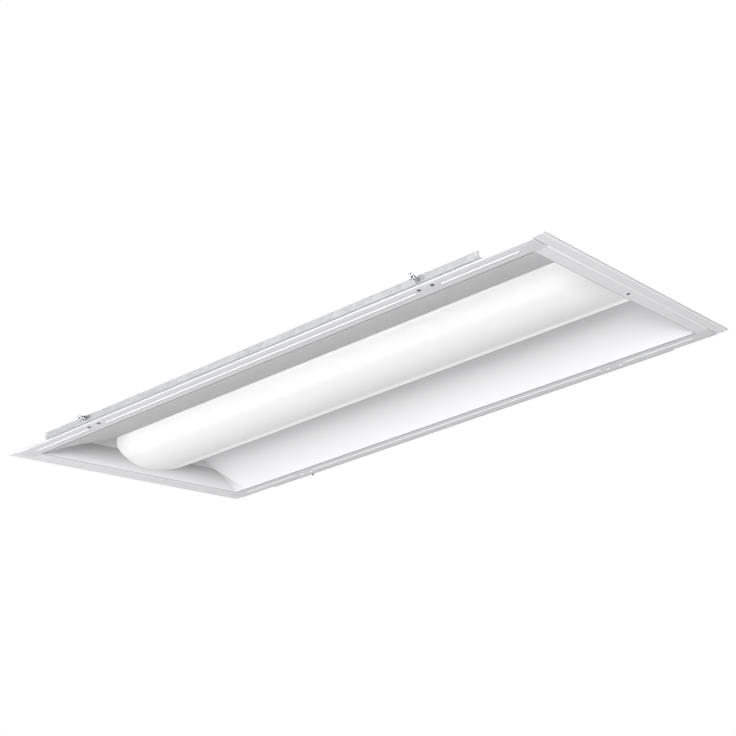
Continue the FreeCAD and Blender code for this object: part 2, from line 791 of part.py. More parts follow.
def lead_bushing():
    """Snap bushing in the tray's lead hole."""
    tail = TRAY_Z - BUSHING_TAIL
    top = TRAY_TOP + BUSHING_HEAD
    seat = (LEAD_HOLE_X, 0, TRAY_TOP)
    flange = pin(BUSHING_RADIUS, seat, (LEAD_HOLE_X, 0, top))
    sleeve = pin(LEAD_HOLE_RADIUS - FIT, (LEAD_HOLE_X, 0, tail), seat)
    bore_radius = LEAD_HOLE_RADIUS - BUSHING_WALL
    bore = pin(bore_radius, (LEAD_HOLE_X, 0, tail - CUT), (LEAD_HOLE_X, 0, top + CUT))
    return flange.fuse(sleeve).cut(bore).removeSplitter()


def cross_brace(x):
    """Strap from one long rail up over the tray to the other, with two hanger holes."""
    foot_out = HALF_W - FRAME_SHEET - STRAP_INSET
    foot_in = foot_out - BRACE_FOOT
    over_y = TRAY_HALF_WIDTH + BRACE_CLEARANCE
    brace = folded_x(
        (-foot_out, BAND_TOP),
        [
            (-foot_in, BAND_TOP),
            (-over_y, BRACE_Z),
            (over_y, BRACE_Z),
            (foot_in, BAND_TOP),
            (foot_out, BAND_TOP),
        ],
        -STRAP_SHEET,
        x - BRACE_WIDTH / 2,
        x + BRACE_WIDTH / 2,
    )
    for y in (-HANGER_Y, HANGER_Y):
        top = (x, y, BRACE_Z + STRAP_SHEET + CUT)
        brace = brace.cut(rod(HANGER_RADIUS, (x, y, BRACE_Z - CUT), top))
    return brace


def side_rail(shift):
    """Far side rail: an angle along the frame's edge, slotted for the two clamping bolts."""
    half = RAIL_LENGTH / 2
    rail = folded_x(
        (RAIL_IN_Y, RAIL_Z),
        [(RAIL_OUT_Y, RAIL_Z), (RAIL_OUT_Y, RAIL_Z + RAIL_HEIGHT)],
        -RAIL_SHEET,
        shift - half,
        shift + half,
    )
    slot_radius = BOLT_RADIUS + BOLT_CLEARANCE
    low_y = RAIL_OUT_Y - RAIL_SHEET - CUT
    high_y = RAIL_OUT_Y + CUT
    for side in (-1, 1):
        x = side * BRACKET_X + shift
        ends = (x - RAIL_TRAVEL, x + RAIL_TRAVEL)
        slot = box((ends[0], low_y, BOLT_Z - slot_radius), (ends[1], high_y, BOLT_Z + slot_radius))
        for end in ends:
            slot = slot.fuse(rod(slot_radius, (end, low_y, BOLT_Z), (end, high_y, BOLT_Z)))
        rail = rail.cut(slot)
        hole_x = shift + side * (half - RAIL_END_HOLE_INSET)
        rail = rail.cut(rod(RAIL_END_HOLE_RADIUS, (hole_x, low_y, BOLT_Z), (hole_x, high_y, BOLT_Z)))
    return rail


def rail_bracket(side_x):
    """Far bracket: foot on the rail's band, step over its edge and leg behind the side rail."""
    foot_end = HALF_W - FRAME_SHEET - FIT
    shelf = FACE + EDGE_HEIGHT + FIT
    x = side_x * BRACKET_X
    bracket = folded_x(
        (foot_end - BRACKET_FOOT, BAND_TOP),
        [
            (foot_end, BAND_TOP),
            (foot_end, shelf),
            (BRACKET_OUT_Y, shelf),
            (BRACKET_OUT_Y, FACE + BRACKET_TOP),
        ],
        -STRAP_SHEET,
        x - BRACKET_LENGTH / 2,
        x + BRACKET_LENGTH / 2,
    )
    for screw_x in screw_places():
        if screw_x * side_x > 0:
            end = (screw_x, SCREW_Y, BAND_TOP + STRAP_SHEET + CUT)
            bracket = bracket.cut(pin(SCREW_RADIUS + FIT, (screw_x, SCREW_Y, FACE), end))
    start = (x, BRACKET_OUT_Y - STRAP_SHEET - CUT, BOLT_Z)
    return bracket.cut(pin(BOLT_RADIUS + FIT, start, (x, BRACKET_OUT_Y + CUT, BOLT_Z)))


def face_screw(x, y):
    """Low-headed screw up through the band, with a cross recess in its head."""
    head = pin(SCREW_HEAD_RADIUS, (x, y, SCREW_HEAD_BOTTOM), (x, y, FACE))
    shank = pin(SCREW_RADIUS, (x, y, FACE), (x, y, FACE + SCREW_GRIP))
    low = SCREW_HEAD_BOTTOM - CUT
    high = SCREW_HEAD_BOTTOM + CROSS_DEPTH
    screw = head.fuse(shank)
    for half_x, half_y in ((CROSS_ARM, CROSS_HALF_WIDTH), (CROSS_HALF_WIDTH, CROSS_ARM)):
        screw = screw.cut(box((x - half_x, y - half_y, low), (x + half_x, y + half_y, high)))
    return screw


def bracket_screws():
    """The eight screws that hold the rail brackets."""
    places = [(x, side * SCREW_Y) for x in screw_places() for side in (-1, 1)]
    return Part.makeCompound([face_screw(x, y) for x, y in places])


def end_screws():
    """The screw in the middle of each end rail."""
    return Part.makeCompound([face_screw(side * end_screw_x(), 0) for side in (-1, 1)])


def clamp_bolt(side_x):
    """Far clamping bolt: hexagon head behind the bracket's leg, shank out through the slot."""
    x = side_x * BRACKET_X
    head_y = BRACKET_OUT_Y - STRAP_SHEET - FIT / 2
    corner = BOLT_HEAD_FLATS / math.sqrt(3)
    points = []
    for index in range(6):
        angle = math.radians(60 * index)
        points.append((x + corner * math.cos(angle), BOLT_Z + corner * math.sin(angle)))
    face = Part.Face(wire(points[0], points[1:], at_xz, closed=True))
    head = face.extrude(Y_AXIS * BOLT_HEAD)
    head.translate(Y_AXIS * (head_y - BOLT_HEAD))
    shank = pin(BOLT_RADIUS, (x, head_y, BOLT_Z), (x, BOLT_END_Y, BOLT_Z))
    return head.fuse(shank)


def washer(side_x):
    """Far washer between the side rail and the wing nut."""
    x = side_x * BRACKET_X
    ends = ((x, WASHER_Y, BOLT_Z), (x, WASHER_Y + WASHER_THICKNESS, BOLT_Z))
    start = (x, WASHER_Y - CUT, BOLT_Z)
    bore = pin(BOLT_RADIUS + BOLT_CLEARANCE, start, (x, NUT_Y + CUT, BOLT_Z))
    return pin(WASHER_RADIUS, *ends).cut(bore)


def nut_ear():
    """One round ear of the wing nut along +X, dished on its outer face and swept outwards."""
    root = BOLT_RADIUS + NUT_CLEARANCE
    blade = pin(EAR_RADIUS, (EAR_REACH, 0, 0), (EAR_REACH, EAR_THICKNESS, 0))
    blade = blade.fuse(box((root, 0, -EAR_NECK), (EAR_REACH, EAR_THICKNESS, EAR_NECK)))
    floor = EAR_THICKNESS - DISH_DEPTH
    blade = blade.cut(pin(DISH_RADIUS, (EAR_REACH, floor, 0), (EAR_REACH, EAR_THICKNESS + CUT, 0)))
    blade.translate(Y_AXIS * EAR_SEAT)
    blade.rotate(CENTRE, Z_AXIS, EAR_SWEEP)
    return blade


def wing_nut(side_x, turn):
    """Far wing nut: tapered hub with two ears, turned about its bolt."""
    foot = pin(NUT_HUB_RADIUS, (0, 0, 0), (0, NUT_FOOT_HEIGHT, 0))
    top = (0, NUT_HUB_HEIGHT, 0)
    taper = tapered_pin(NUT_HUB_RADIUS, NUT_TOP_RADIUS, (0, NUT_FOOT_HEIGHT, 0), top)
    ear = nut_ear()
    nut = foot.fuse(taper).fuse(ear).fuse(other_side(ear, X_AXIS))
    ear_end = EAR_SEAT + EAR_REACH + EAR_THICKNESS
    nut = nut.cut(pin(BOLT_RADIUS + NUT_CLEARANCE + FLAT_DEPTH, (0, -CUT, 0), (0, ear_end, 0)))
    nut = nut.removeSplitter()
    nut.rotate(CENTRE, Y_AXIS, turn)
    nut.translate(FreeCAD.Vector(side_x * BRACKET_X, NUT_Y, BOLT_Z))
    return nut


def frame_nodes():
    """The face frame and the screws seen in it."""
    rail = long_rail()
    end = end_rail()
    straps = [corner_strap(side_x, side_y) for side_x in (-1, 1) for side_y in (-1, 1)]
    return {
        "long_rail_far": rail,
        "long_rail_near": other_side(rail, Y_AXIS),
        "end_rail_right": end,
        "end_rail_left": other_side(end, X_AXIS),
        "corner_straps": Part.makeCompound(straps),
        "bracket_screws": bracket_screws(),
        "end_screws": end_screws(),
    }


def optic_nodes():
    """Reflectors, end plates, lens and its clips."""
    wing = reflector_wing()
    plate = end_plate()
    return {
        "reflector_wing_far": wing,
        "reflector_wing_near": other_side(wing, Y_AXIS),
        "end_plate_right": plate,
        "end_plate_left": other_side(plate, X_AXIS),
        "lens": lens(),
        "lens_clips": lens_clips(),
    }


def light_nodes():
    """Tray, boards, driver and what covers them."""
    nodes = {
        "light_tray": light_tray(),
        "board_diodes": diodes(),
        "board_links": board_links(),
        "board_screws": board_screws(),
        "cross_brace_left": cross_brace(-BRACE_X),
        "cross_brace_right": cross_brace(BRACE_X),
        "bay_end_left": bay_end(-1),
        "bay_end_right": bay_end(1),
        "driver_cover": driver_cover(),
        "cover_screws": cover_screws(),
        "driver_case": driver_case(),
        "driver_screws": driver_screws(),
        "terminal_block": terminal_block(),
        "ground_screw": ground_screw(),
        "lead_bushing": lead_bushing(),
    }
    for name_x, side_x in (("left", -1), ("right", 1)):
        for name_y, side_y in (("near", -1), ("far", 1)):
            nodes[f"light_board_{name_y}_{name_x}"] = light_board(side_x, side_y)
    return nodes


def mounting_nodes():
    """Side rails with their brackets, bolts, washers and wing nuts."""
    nodes = {
        "side_rail_far": side_rail(0),
        "side_rail_near": other_side(side_rail(NEAR_RAIL_SHIFT), Y_AXIS),
    }
    turns = {
        ("far", "left"): FAR_LEFT_TURN,
        ("far", "right"): FAR_RIGHT_TURN,
        ("near", "left"): NEAR_LEFT_TURN,
        ("near", "right"): NEAR_RIGHT_TURN,
    }
    for (name_y, name_x), turn in turns.items():
        side_x = -1 if name_x == "left" else 1
        pieces = {
            "rail_bracket": rail_bracket(side_x),
            "clamp_bolt": clamp_bolt(side_x),
            "washer": washer(side_x),
            "wing_nut": wing_nut(side_x, turn),
        }
        for name, shape in pieces.items():
            if name_y == "near":
                shape = other_side(shape, Y_AXIS)
            nodes[f"{name}_{name_y}_{name_x}"] = shape
    return nodes


def main():
    os.makedirs("parts", exist_ok=True)
    nodes = {**frame_nodes(), **optic_nodes(), **light_nodes(), **mounting_nodes()}
    for name, shape in nodes.items():
        shape.exportStep(os.path.join("parts", f"{name}.step"))
        bounds = shape.BoundBox
        print(f"{name}: {len(shape.Solids)} solids, valid {shape.isValid()}, "
              f"volume {shape.Volume:.0f}, X {bounds.XMin:.1f}..{bounds.XMax:.1f}, "
              f"Y {bounds.YMin:.1f}..{bounds.YMax:.1f}, Z {bounds.ZMin:.2f}..{bounds.ZMax:.2f}")
    print(f"{len(nodes)} nodes")


if __name__ == "__main__":
    main()
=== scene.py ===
import json
import logging
import math
from dataclasses import dataclass, field
from enum import Enum
from typing import Any, Callable, Mapping, Optional, Sequence, Union

import bmesh
import bpy
import numpy as np
from mathutils import Matrix, Vector

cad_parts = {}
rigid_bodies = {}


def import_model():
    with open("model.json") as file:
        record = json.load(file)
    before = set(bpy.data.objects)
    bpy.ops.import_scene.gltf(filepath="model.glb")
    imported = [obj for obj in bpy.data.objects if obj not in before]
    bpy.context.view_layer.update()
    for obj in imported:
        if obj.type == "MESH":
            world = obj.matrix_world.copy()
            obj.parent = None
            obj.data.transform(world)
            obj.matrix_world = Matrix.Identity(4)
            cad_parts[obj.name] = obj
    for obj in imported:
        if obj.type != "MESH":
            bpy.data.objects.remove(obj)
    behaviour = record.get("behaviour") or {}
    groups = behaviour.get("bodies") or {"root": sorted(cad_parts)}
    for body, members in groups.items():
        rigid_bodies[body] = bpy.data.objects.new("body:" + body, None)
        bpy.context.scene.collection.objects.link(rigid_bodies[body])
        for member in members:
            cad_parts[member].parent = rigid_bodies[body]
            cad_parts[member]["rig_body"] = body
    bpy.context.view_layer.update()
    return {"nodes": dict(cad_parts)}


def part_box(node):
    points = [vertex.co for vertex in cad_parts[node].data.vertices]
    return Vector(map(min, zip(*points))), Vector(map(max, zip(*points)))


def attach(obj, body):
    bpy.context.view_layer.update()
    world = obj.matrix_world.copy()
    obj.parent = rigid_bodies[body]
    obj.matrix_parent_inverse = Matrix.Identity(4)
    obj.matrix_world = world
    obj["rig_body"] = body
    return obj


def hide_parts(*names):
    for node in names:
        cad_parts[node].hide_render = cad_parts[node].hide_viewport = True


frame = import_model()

LOG = logging.getLogger("troffer")
MM = 0.001
MERGE_DISTANCE = 2e-7
BEND_POINTS = 5
SHARP_DEG = 32.0
FLAT_DEG = 0.5
CORNER_GAP = 0.8 * MM
QUARTER_TURN = 0.5 * math.pi
FULL_TURN = 2 * math.pi
WHITE = (1.0, 1.0, 1.0)
Colour = tuple[float, float, float]
Band = tuple[float, float]
Placing = Callable[[np.ndarray, np.ndarray], np.ndarray]


class Side(Enum):
    """The two long sides of the fixture; the value is the sign of Y."""

    NEAR = -1
    FAR = 1


class End(Enum):
    """The two ends of the fixture; the value is the sign of X."""

    LEFT = -1
    RIGHT = 1


class Body(Enum):
    """The moving bodies that pieces ride on."""

    HOUSING = "housing"
    LENS = "lens_panel"
    COVER = "bay_cover"


def label(side: Side, end: End) -> str:
    """The ending that a corner's nodes share, such as near_left."""
    return f"{side.name.lower()}_{end.name.lower()}"


def corners_of(node: str) -> tuple[np.ndarray, np.ndarray]:
    """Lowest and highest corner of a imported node, as arrays."""
    low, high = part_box(node)
    return np.array(low), np.array(high)


def node_points(node: str) -> np.ndarray:
    """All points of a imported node, one row each.

    Args:
        node: the node's name.

    Returns:
        One row of X, Y and Z for each point.
    """
    vertices = frame["nodes"][node].data.vertices
    flat = np.empty(3 * len(vertices))
    vertices.foreach_get("co", flat)
    return flat.reshape(-1, 3)


class Surface:
    """Grids of points, gathered and then made into one closed mesh."""

    def __init__(self, name: str) -> None:
        """Starts an empty surface.

        Args:
            name: name of the object that it becomes.
        """
        self.name = name
        self.points: list[np.ndarray] = []
        self.quads: list[np.ndarray] = []
        self.count = 0

    def grid(self, points: np.ndarray, closed: bool = False) -> None:
        """Adds quads between neighbouring rows and columns of points.

        Args:
            points: array of rows, columns and 3.
            closed: whether the last column joins the first.
        """
        rows, columns = points.shape[:2]
        index = np.arange(rows * columns).reshape(rows, columns) + self.count
        if closed:
            index = np.hstack([index, index[:, :1]])
        square = [index[:-1, :-1], index[1:, :-1], index[1:, 1:], index[:-1, 1:]]
        self.quads.append(np.stack(square, axis=-1).reshape(-1, 4))
        self.points.append(points.reshape(-1, 3))
        self.count += rows * columns

    def sheet(self, face: np.ndarray, back: np.ndarray, place: Placing, along: np.ndarray) -> None:
        """Adds a sheet whose two sides are profiles carried along a line, edges and ends closed.

        Args:
            face: points of one side of the section, rows of two.
            back: points of the other side, paired with them.
            place: turns profile points and places along the line into a grid of points.
            along: places along the line.
        """
        front, rear = place(face, along), place(back, along)
        self.grid(front)
        self.grid(rear)
        for row in (0, -1):
            self.grid(np.stack([front[row], rear[row]]))
        for column in (0, -1):
            self.grid(np.stack([front[:, column], rear[:, column]]))

    def build(self, sharp_deg: float = SHARP_DEG, bevel: float = 0.0) -> bpy.types.Object:
        """Makes the object: doubles merged, faces outwards, smooth except at sharp edges.

        Args:
            sharp_deg: edges that turn more than this stay sharp.
            bevel: width of the rounding on sharp edges, or 0 for none.

        Returns:
            The new object, linked to the scene.
        """
        mesh = bpy.data.meshes.new(self.name)
        mesh.from_pydata(np.vstack(self.points), [], np.vstack(self.quads).tolist())
        return finished(self.name, mesh, sharp_deg, bevel)


def finished(name: str, mesh: bpy.types.Mesh, sharp_deg: float, bevel: float) -> bpy.types.Object:
    """Cleans a mesh, shades it and links it as an object.

    Args:
        name: name of the object.
        mesh: the mesh, changed in place.
        sharp_deg: edges that turn more than this stay sharp.
        bevel: width of the rounding on sharp edges, or 0 for none.

    Returns:
        The new object.
    """
    work = bmesh.new()
    work.from_mesh(mesh)
    bmesh.ops.remove_doubles(work, verts=work.verts, dist=MERGE_DISTANCE)
    bmesh.ops.dissolve_degenerate(work, dist=MERGE_DISTANCE, edges=work.edges)
    bmesh.ops.recalc_face_normals(work, faces=work.faces)
    work.to_mesh(mesh)
    work.free()
    mesh.shade_smooth()
    mesh.set_sharp_from_angle(angle=math.radians(sharp_deg))
    made = bpy.data.objects.new(name, mesh)
    bpy.context.scene.collection.objects.link(made)
    if bevel > 0:
        rounding = made.modifiers.new("edges", "BEVEL")
        rounding.width = bevel
        rounding.segments = 2
        rounding.limit_method = "ANGLE"
        rounding.angle_limit = math.radians(sharp_deg)
        rounding.harden_normals = True
    return made


def turned(vectors: np.ndarray) -> np.ndarray:
    """Vectors of two numbers, each turned a quarter to the left."""
    return np.stack([-vectors[..., 1], vectors[..., 0]], axis=-1)


def directions(corners: np.ndarray) -> np.ndarray:
    """Unit direction of each run between corners."""
    runs = np.diff(corners, axis=0)
    return runs / np.linalg.norm(runs, axis=1, keepdims=True)


def offset_corners(corners: np.ndarray, distance: float) -> np.ndarray:
    """Corners of the parallel path to the left, mitred.

    Each new corner is the old one plus the distance times the sum of the two runs' normals,
    divided by one plus their dot product.

    Args:
        corners: corners of the path, rows of two.
        distance: how far the new path lies, positive to the left.

    Returns:
        The new corners.
    """
    normals = turned(directions(corners))
    before = np.vstack([normals[:1], normals])
    after = np.vstack([normals, normals[-1:]])
    share = 1 + np.sum(before * after, axis=1, keepdims=True)
    return corners + distance * (before + after) / share


def rounded(corners: np.ndarray, radii: np.ndarray, steps: int) -> np.ndarray:
    """A path whose inner corners are arcs of the given radii.

    An arc starts its radius times the tangent of half the turn before the corner, and its
    points are the start plus the run times sine and the normal times one minus cosine.

    Args:
        corners: corners of the path, rows of two.
        radii: radius at each inner corner.
        steps: points on each arc.

    Returns:
        The points of the path.
    """
    runs = directions(corners)
    into, out = runs[:-1], runs[1:]
    cross = into[:, 0] * out[:, 1] - into[:, 1] * out[:, 0]
    turn = np.arctan2(cross, np.sum(into * out, axis=1))
    reach = radii * np.tan(np.abs(turn) / 2)
    start = corners[1:-1] - into * reach[:, None]
    normal = turned(into) * np.sign(turn)[:, None]
    angle = np.linspace(0, 1, steps)[None, :, None] * np.abs(turn)[:, None, None]
    ahead = into[:, None] * np.sin(angle)
    aside = normal[:, None] * (1 - np.cos(angle))
    arcs = start[:, None] + radii[:, None, None] * (ahead + aside)
    return np.vstack([corners[:1], arcs.reshape(-1, 2), corners[-1:]])


def folded_sides(corners: Sequence[Sequence[float]], thickness: float,
                 bend: float) -> tuple[np.ndarray, np.ndarray]:
    """Both sides of a folded sheet's section.

    Args:
        corners: corners of the given side, before rounding.
        thickness: how far the other side lies, positive to the left.
        bend: radius inside each bend.

    Returns:
        Paired points of the given side and of the other side.
    """
    face = np.array(corners, float)
    back = offset_corners(face, thickness)
    runs = directions(face)
    cross = runs[:-1, 0] * runs[1:, 1] - runs[:-1, 1] * runs[1:, 0]
    towards_back = cross * thickness > 0
    wide = bend + abs(thickness)
    face_radii = np.where(towards_back, wide, bend)
    back_radii = np.where(towards_back, bend, wide)
    return rounded(face, face_radii, BEND_POINTS), rounded(back, back_radii, BEND_POINTS)


def refined(points: np.ndarray, places: np.ndarray) -> np.ndarray:
    """Points interpolated at fractional row numbers, in order."""
    rows = np.arange(len(points))
    return np.stack([np.interp(places, rows, column) for column in points.T], axis=1)


def finer(sides: tuple[np.ndarray, np.ndarray],
          places: np.ndarray) -> tuple[np.ndarray, np.ndarray, np.ndarray]:
    """Both sides of a section with more rows.

    Args:
        sides: paired points of the two sides.
        places: fractional row numbers at which points are added.

    Returns:
        The points of both sides, and the row number of each.
    """
    rows = np.sort(np.concatenate([np.arange(len(sides[0])), places]))
    face, back = (refined(side, rows) for side in sides)
    return face, back, rows


def along_x(limit: Callable[[np.ndarray], np.ndarray], side: int = 1) -> Placing:
    """Places a YZ section along X; places run from -1 to 1 between limits that vary with Z.

    Args:
        limit: how far the piece reaches along X, from heights.
        side: sign of Y.

    Returns:
        The function that places it.
    """
    def place(profile: np.ndarray, along: np.ndarray) -> np.ndarray:
        """Grid of points for a profile and places.

        Args:
            profile: rows of a section's two coordinates.
            along: places along the line.

        Returns:
            A grid of points.
        """
        x = limit(profile[:, 1])[:, None] * along[None]
        y = np.broadcast_to(side * profile[:, :1], x.shape)
        z = np.broadcast_to(profile[:, 1:], x.shape)
        return np.stack([x, y, z], axis=-1)
    return place


def along_y(limit: Callable[[np.ndarray], np.ndarray], end: int = 1) -> Placing:
    """Places an XZ section along Y; places in metres are held within limits set by the profile.

    Args:
        limit: how far each point of the section may reach along Y.
        end: sign of X.

    Returns:
        The function that places it.
    """
    def place(profile: np.ndarray, along: np.ndarray) -> np.ndarray:
        """Grid of points for a profile and places.

        Args:
            profile: rows of a section's two coordinates.
            along: places along the line.

        Returns:
            A grid of points.
        """
        reach = limit(profile)[:, None]
        y = np.clip(along[None], -reach, reach)
        x = np.broadcast_to(end * profile[:, :1], y.shape)
        z = np.broadcast_to(profile[:, 1:], y.shape)
        return np.stack([x, y, z], axis=-1)
    return place


def round_angles(count: int) -> np.ndarray:
    """Angles spaced evenly round a full turn."""
    return np.linspace(0, FULL_TURN, count, endpoint=False)


def standing_axes(axis: Sequence[float]) -> tuple[np.ndarray, np.ndarray, np.ndarray]:
    """Unit vector of an axis, and two that stand square to it.

    Args:
        axis: the axis, of any length.

    Returns:
        The three unit vectors.
    """
    up = Vector(axis).normalized()
    first = up.orthogonal().normalized()
    return np.array(up), np.array(first), np.array(up.cross(first))


def revolved(profile: np.ndarray, origin: Sequence[float], axis: Sequence[float],
             segments: int) -> np.ndarray:
    """A profile of radius and height turned about an axis.

    Args:
        profile: rows of radius and height.
        origin: point at height 0 on the axis.
        axis: direction of height.
        segments: points round the axis.

    Returns:
        A grid of points, one row for each profile point; its columns close on themselves.
    """
    up, first, second = standing_axes(axis)
    angle = round_angles(segments)[:, None]
    ring = np.cos(angle) * first + np.sin(angle) * second
    return np.array(origin) + profile[:, :1, None] * ring + profile[:, 1:, None] * up


def raised_cosine(distance: np.ndarray, width: float) -> np.ndarray:
    """One at distance 0, falling as a squared cosine to 0 at the width."""
    return np.cos(QUARTER_TURN * np.clip(distance / width, 0, 1)) ** 2


def smooth_step(value: np.ndarray, low: float, high: float) -> np.ndarray:
    """Zero below low, one above high, and an S-shaped cubic between."""
    share = np.clip((value - low) / (high - low), 0, 1)
    return share * share * (3 - 2 * share)


@dataclass(frozen=True)
class Grain:
    """Noise over a surface, by its scale per metre, its detail and its stretch on each axis.

    With limits, the noise goes to zero below the first and to one above the second.
    """

    scale: float
    detail: float = 2.0
    limits: Optional[Band] = None
    stretch: Colour = (1, 1, 1)


class Signal:
    """A shader socket that takes part in sums; each operation adds a Math node."""

    def __init__(self, graph: "Graph", socket: bpy.types.NodeSocket) -> None:
        """Wraps an output socket of a graph."""
        self.graph = graph
        self.socket = socket

    def math(self, operation: str, *values: Any) -> "Signal":
        """The result of a Math node on the values."""
        return self.graph.node("ShaderNodeMath", {"operation": operation}, dict(enumerate(values)))

    def __add__(self, other: Any) -> "Signal":
        """Sum."""
        return self.math("ADD", self, other)

    def __sub__(self, other: Any) -> "Signal":
        """Difference."""
        return self.math("SUBTRACT", self, other)

    def __rsub__(self, other: Any) -> "Signal":
        """Difference from a number."""
        return self.math("SUBTRACT", other, self)

    def __mul__(self, other: Any) -> "Signal":
        """Product."""
        return self.math("MULTIPLY", self, other)

    __radd__ = __add__
    __rmul__ = __mul__

    def size(self) -> "Signal":
        """Absolute value."""
        return self.math("ABSOLUTE", self)

    def largest(self, *others: Any) -> "Signal":
        """The largest of this and the others.

        Args:
            *others: signals or numbers.

        Returns:
            The largest, as a signal.
        """
        result = self
        for other in others:
            result = self.math("MAXIMUM", result, other)
        return result

    def clamped(self) -> "Signal":
        """The value, held between zero and one."""
        return self.math("MINIMUM", self.largest(0.0), 1.0)

    def step(self, low: float, high: float) -> "Signal":
        """Zero below low, one above high, smooth between."""
        settings = {"interpolation_type": "SMOOTHSTEP"}
        return self.graph.node("ShaderNodeMapRange", settings, {0: self, 1: low, 2: high})

    def past(self, place: float, band: Band) -> "Signal":
        """Zero before a band about a place, one after it."""
        return self.step(place + band[0], place + band[1])

    def about(self, mean: float, spread: float) -> "Signal":
        """A value that this pattern moves evenly about its mean."""
        return self * spread + (mean - spread / 2)


class Graph:
    """Node tree of one material or of the world, with a Principled shader where asked."""

    def __init__(self, tree: bpy.types.NodeTree) -> None:
        """Empties a node tree and keeps it."""
        self.tree = tree
        tree.nodes.clear()

    def node(self, kind: str, settings: Optional[Mapping[str, Any]] = None,
             inputs: Optional[Mapping[Union[int, str], Any]] = None,
             output: Union[int, str] = 0) -> Signal:
        """Adds a node.

        Args:
            kind: the node's type.
            settings: its properties, set first.
            inputs: values or signals for its sockets, by name or number.
            output: which output is returned.

        Returns:
            The chosen output as a signal.
        """
        made = self.tree.nodes.new(kind)
        for name, value in (settings or {}).items():
            setattr(made, name, value)
        for name, value in (inputs or {}).items():
            if isinstance(value, Signal):
                self.tree.links.new(value.socket, made.inputs[name])
            else:
                made.inputs[name].default_value = value
        return Signal(self, made.outputs[output] if made.outputs else None)

    def place(self, scale: Colour = (1, 1, 1)) -> Signal:
        """Object coordinates, stretched by a scale for each axis."""
        raw = self.node("ShaderNodeTexCoord", output="Object")
        return self.node("ShaderNodeMapping", None, {"Vector": raw, "Scale": scale})

    def axis(self, name: str) -> Signal:
        """One object coordinate, X, Y or Z, in metres."""
        return self.node("ShaderNodeSeparateXYZ", None, {"Vector": self.place()}, output=name)

    def noise(self, grain: Grain) -> Signal:
        """The noise of a grain, from 0 to 1.

        Args:
            grain: the noise's sizes.

        Returns:
            The noise, as a signal.
        """
        inputs = {"Vector": self.place(grain.stretch), "Scale": grain.scale, "Detail": grain.detail}
        noise = self.node("ShaderNodeTexNoise", None, inputs)
        return noise.step(*grain.limits) if grain.limits else noise

    def blend(self, share: Any, first: Any, second: Any) -> Signal:
        """Colour between two colours."""
        inputs = {0: share, 6: rgba(first), 7: rgba(second)}
        return self.node("ShaderNodeMix", {"data_type": "RGBA"}, inputs, output=2)

    def bump(self, height: Signal, depth: float) -> Signal:
        """Normal from a height, with its depth in metres."""
        inputs = {"Height": height, "Distance": depth, "Strength": 1.0}
        return self.node("ShaderNodeBump", None, inputs)

    def principled(self, inputs: Mapping[str, Any]) -> None:
        """Ends the graph in a Principled shader with these inputs."""
        shader = self.node("ShaderNodeBsdfPrincipled", None, inputs)
        self.node("ShaderNodeOutputMaterial", None, {"Surface": shader})


def rgba(colour: Any) -> Any:
    """A colour with its alpha, or a signal as it is."""
    return colour if isinstance(colour, Signal) else (*colour, 1.0)


def shaded(colour: Colour, share: float) -> Colour:
    """A colour made lighter or darker by a share."""
    return tuple(min(1.0, part * share) for part in colour)


@dataclass(frozen=True)
class Finish:
    """A surface finish; the subclasses fill its graph.

    The ending keeps its material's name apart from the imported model's own and from other
    finishes of the same slot.
    """

    slot: str
    ending: str = field(default="finish", kw_only=True)

    def material(self) -> bpy.types.Material:
        """The finish as a material, made once.

        Returns:
            The material.
        """
        name = f"{self.slot}_{self.ending}"
        known = bpy.data.materials.get(name)
        if known:
            return known
        made = bpy.data.materials.new(name)
        made.use_nodes = True
        self.fill(Graph(made.node_tree))
        return made

    def fill(self, graph: Graph) -> None:
        """Builds the shader."""
        raise NotImplementedError


@dataclass(frozen=True)
class PowderCoat(Finish):
    """Baked enamel: fine orange peel, a faint cloud in its tone, rubbed streaks in its gloss."""

    colour: Colour = (0.85, 0.85, 0.86)
    roughness: float = 0.38
    shine: float = 0.5
    cloud: Grain = Grain(5.0, 3.0, (0.35, 0.65))
    cloud_share: float = 0.982
    speck: Grain = Grain(2600.0, 1.0, (0.70, 0.76))
    speck_cover: float = 0.10
    speck_share: float = 0.80
    rub: Grain = Grain(40.0, 3.0, stretch=(0.12, 1.0, 1.0))
    rub_spread: float = 0.10
    peel: Grain = Grain(620.0)
    peel_depth: float = 0.018 * MM

    def tone(self, graph: Graph) -> Signal:
        """Colour of the coat before its specks."""
        cloud = graph.noise(self.cloud)
        return graph.blend(cloud, shaded(self.colour, self.cloud_share), self.colour)

    def fill(self, graph: Graph) -> None:
        """Builds the shader.

        Args:
            graph: the material's graph.
        """
        speck = graph.noise(self.speck) * self.speck_cover
        dark = shaded(self.colour, self.speck_share)
        graph.principled({
            "Base Color": graph.blend(speck, self.tone(graph), dark),
            "Roughness": graph.noise(self.rub).about(self.roughness, self.rub_spread),
            "Specular IOR Level": self.shine,
            "Normal": graph.bump(graph.noise(self.peel), self.peel_depth),
        })


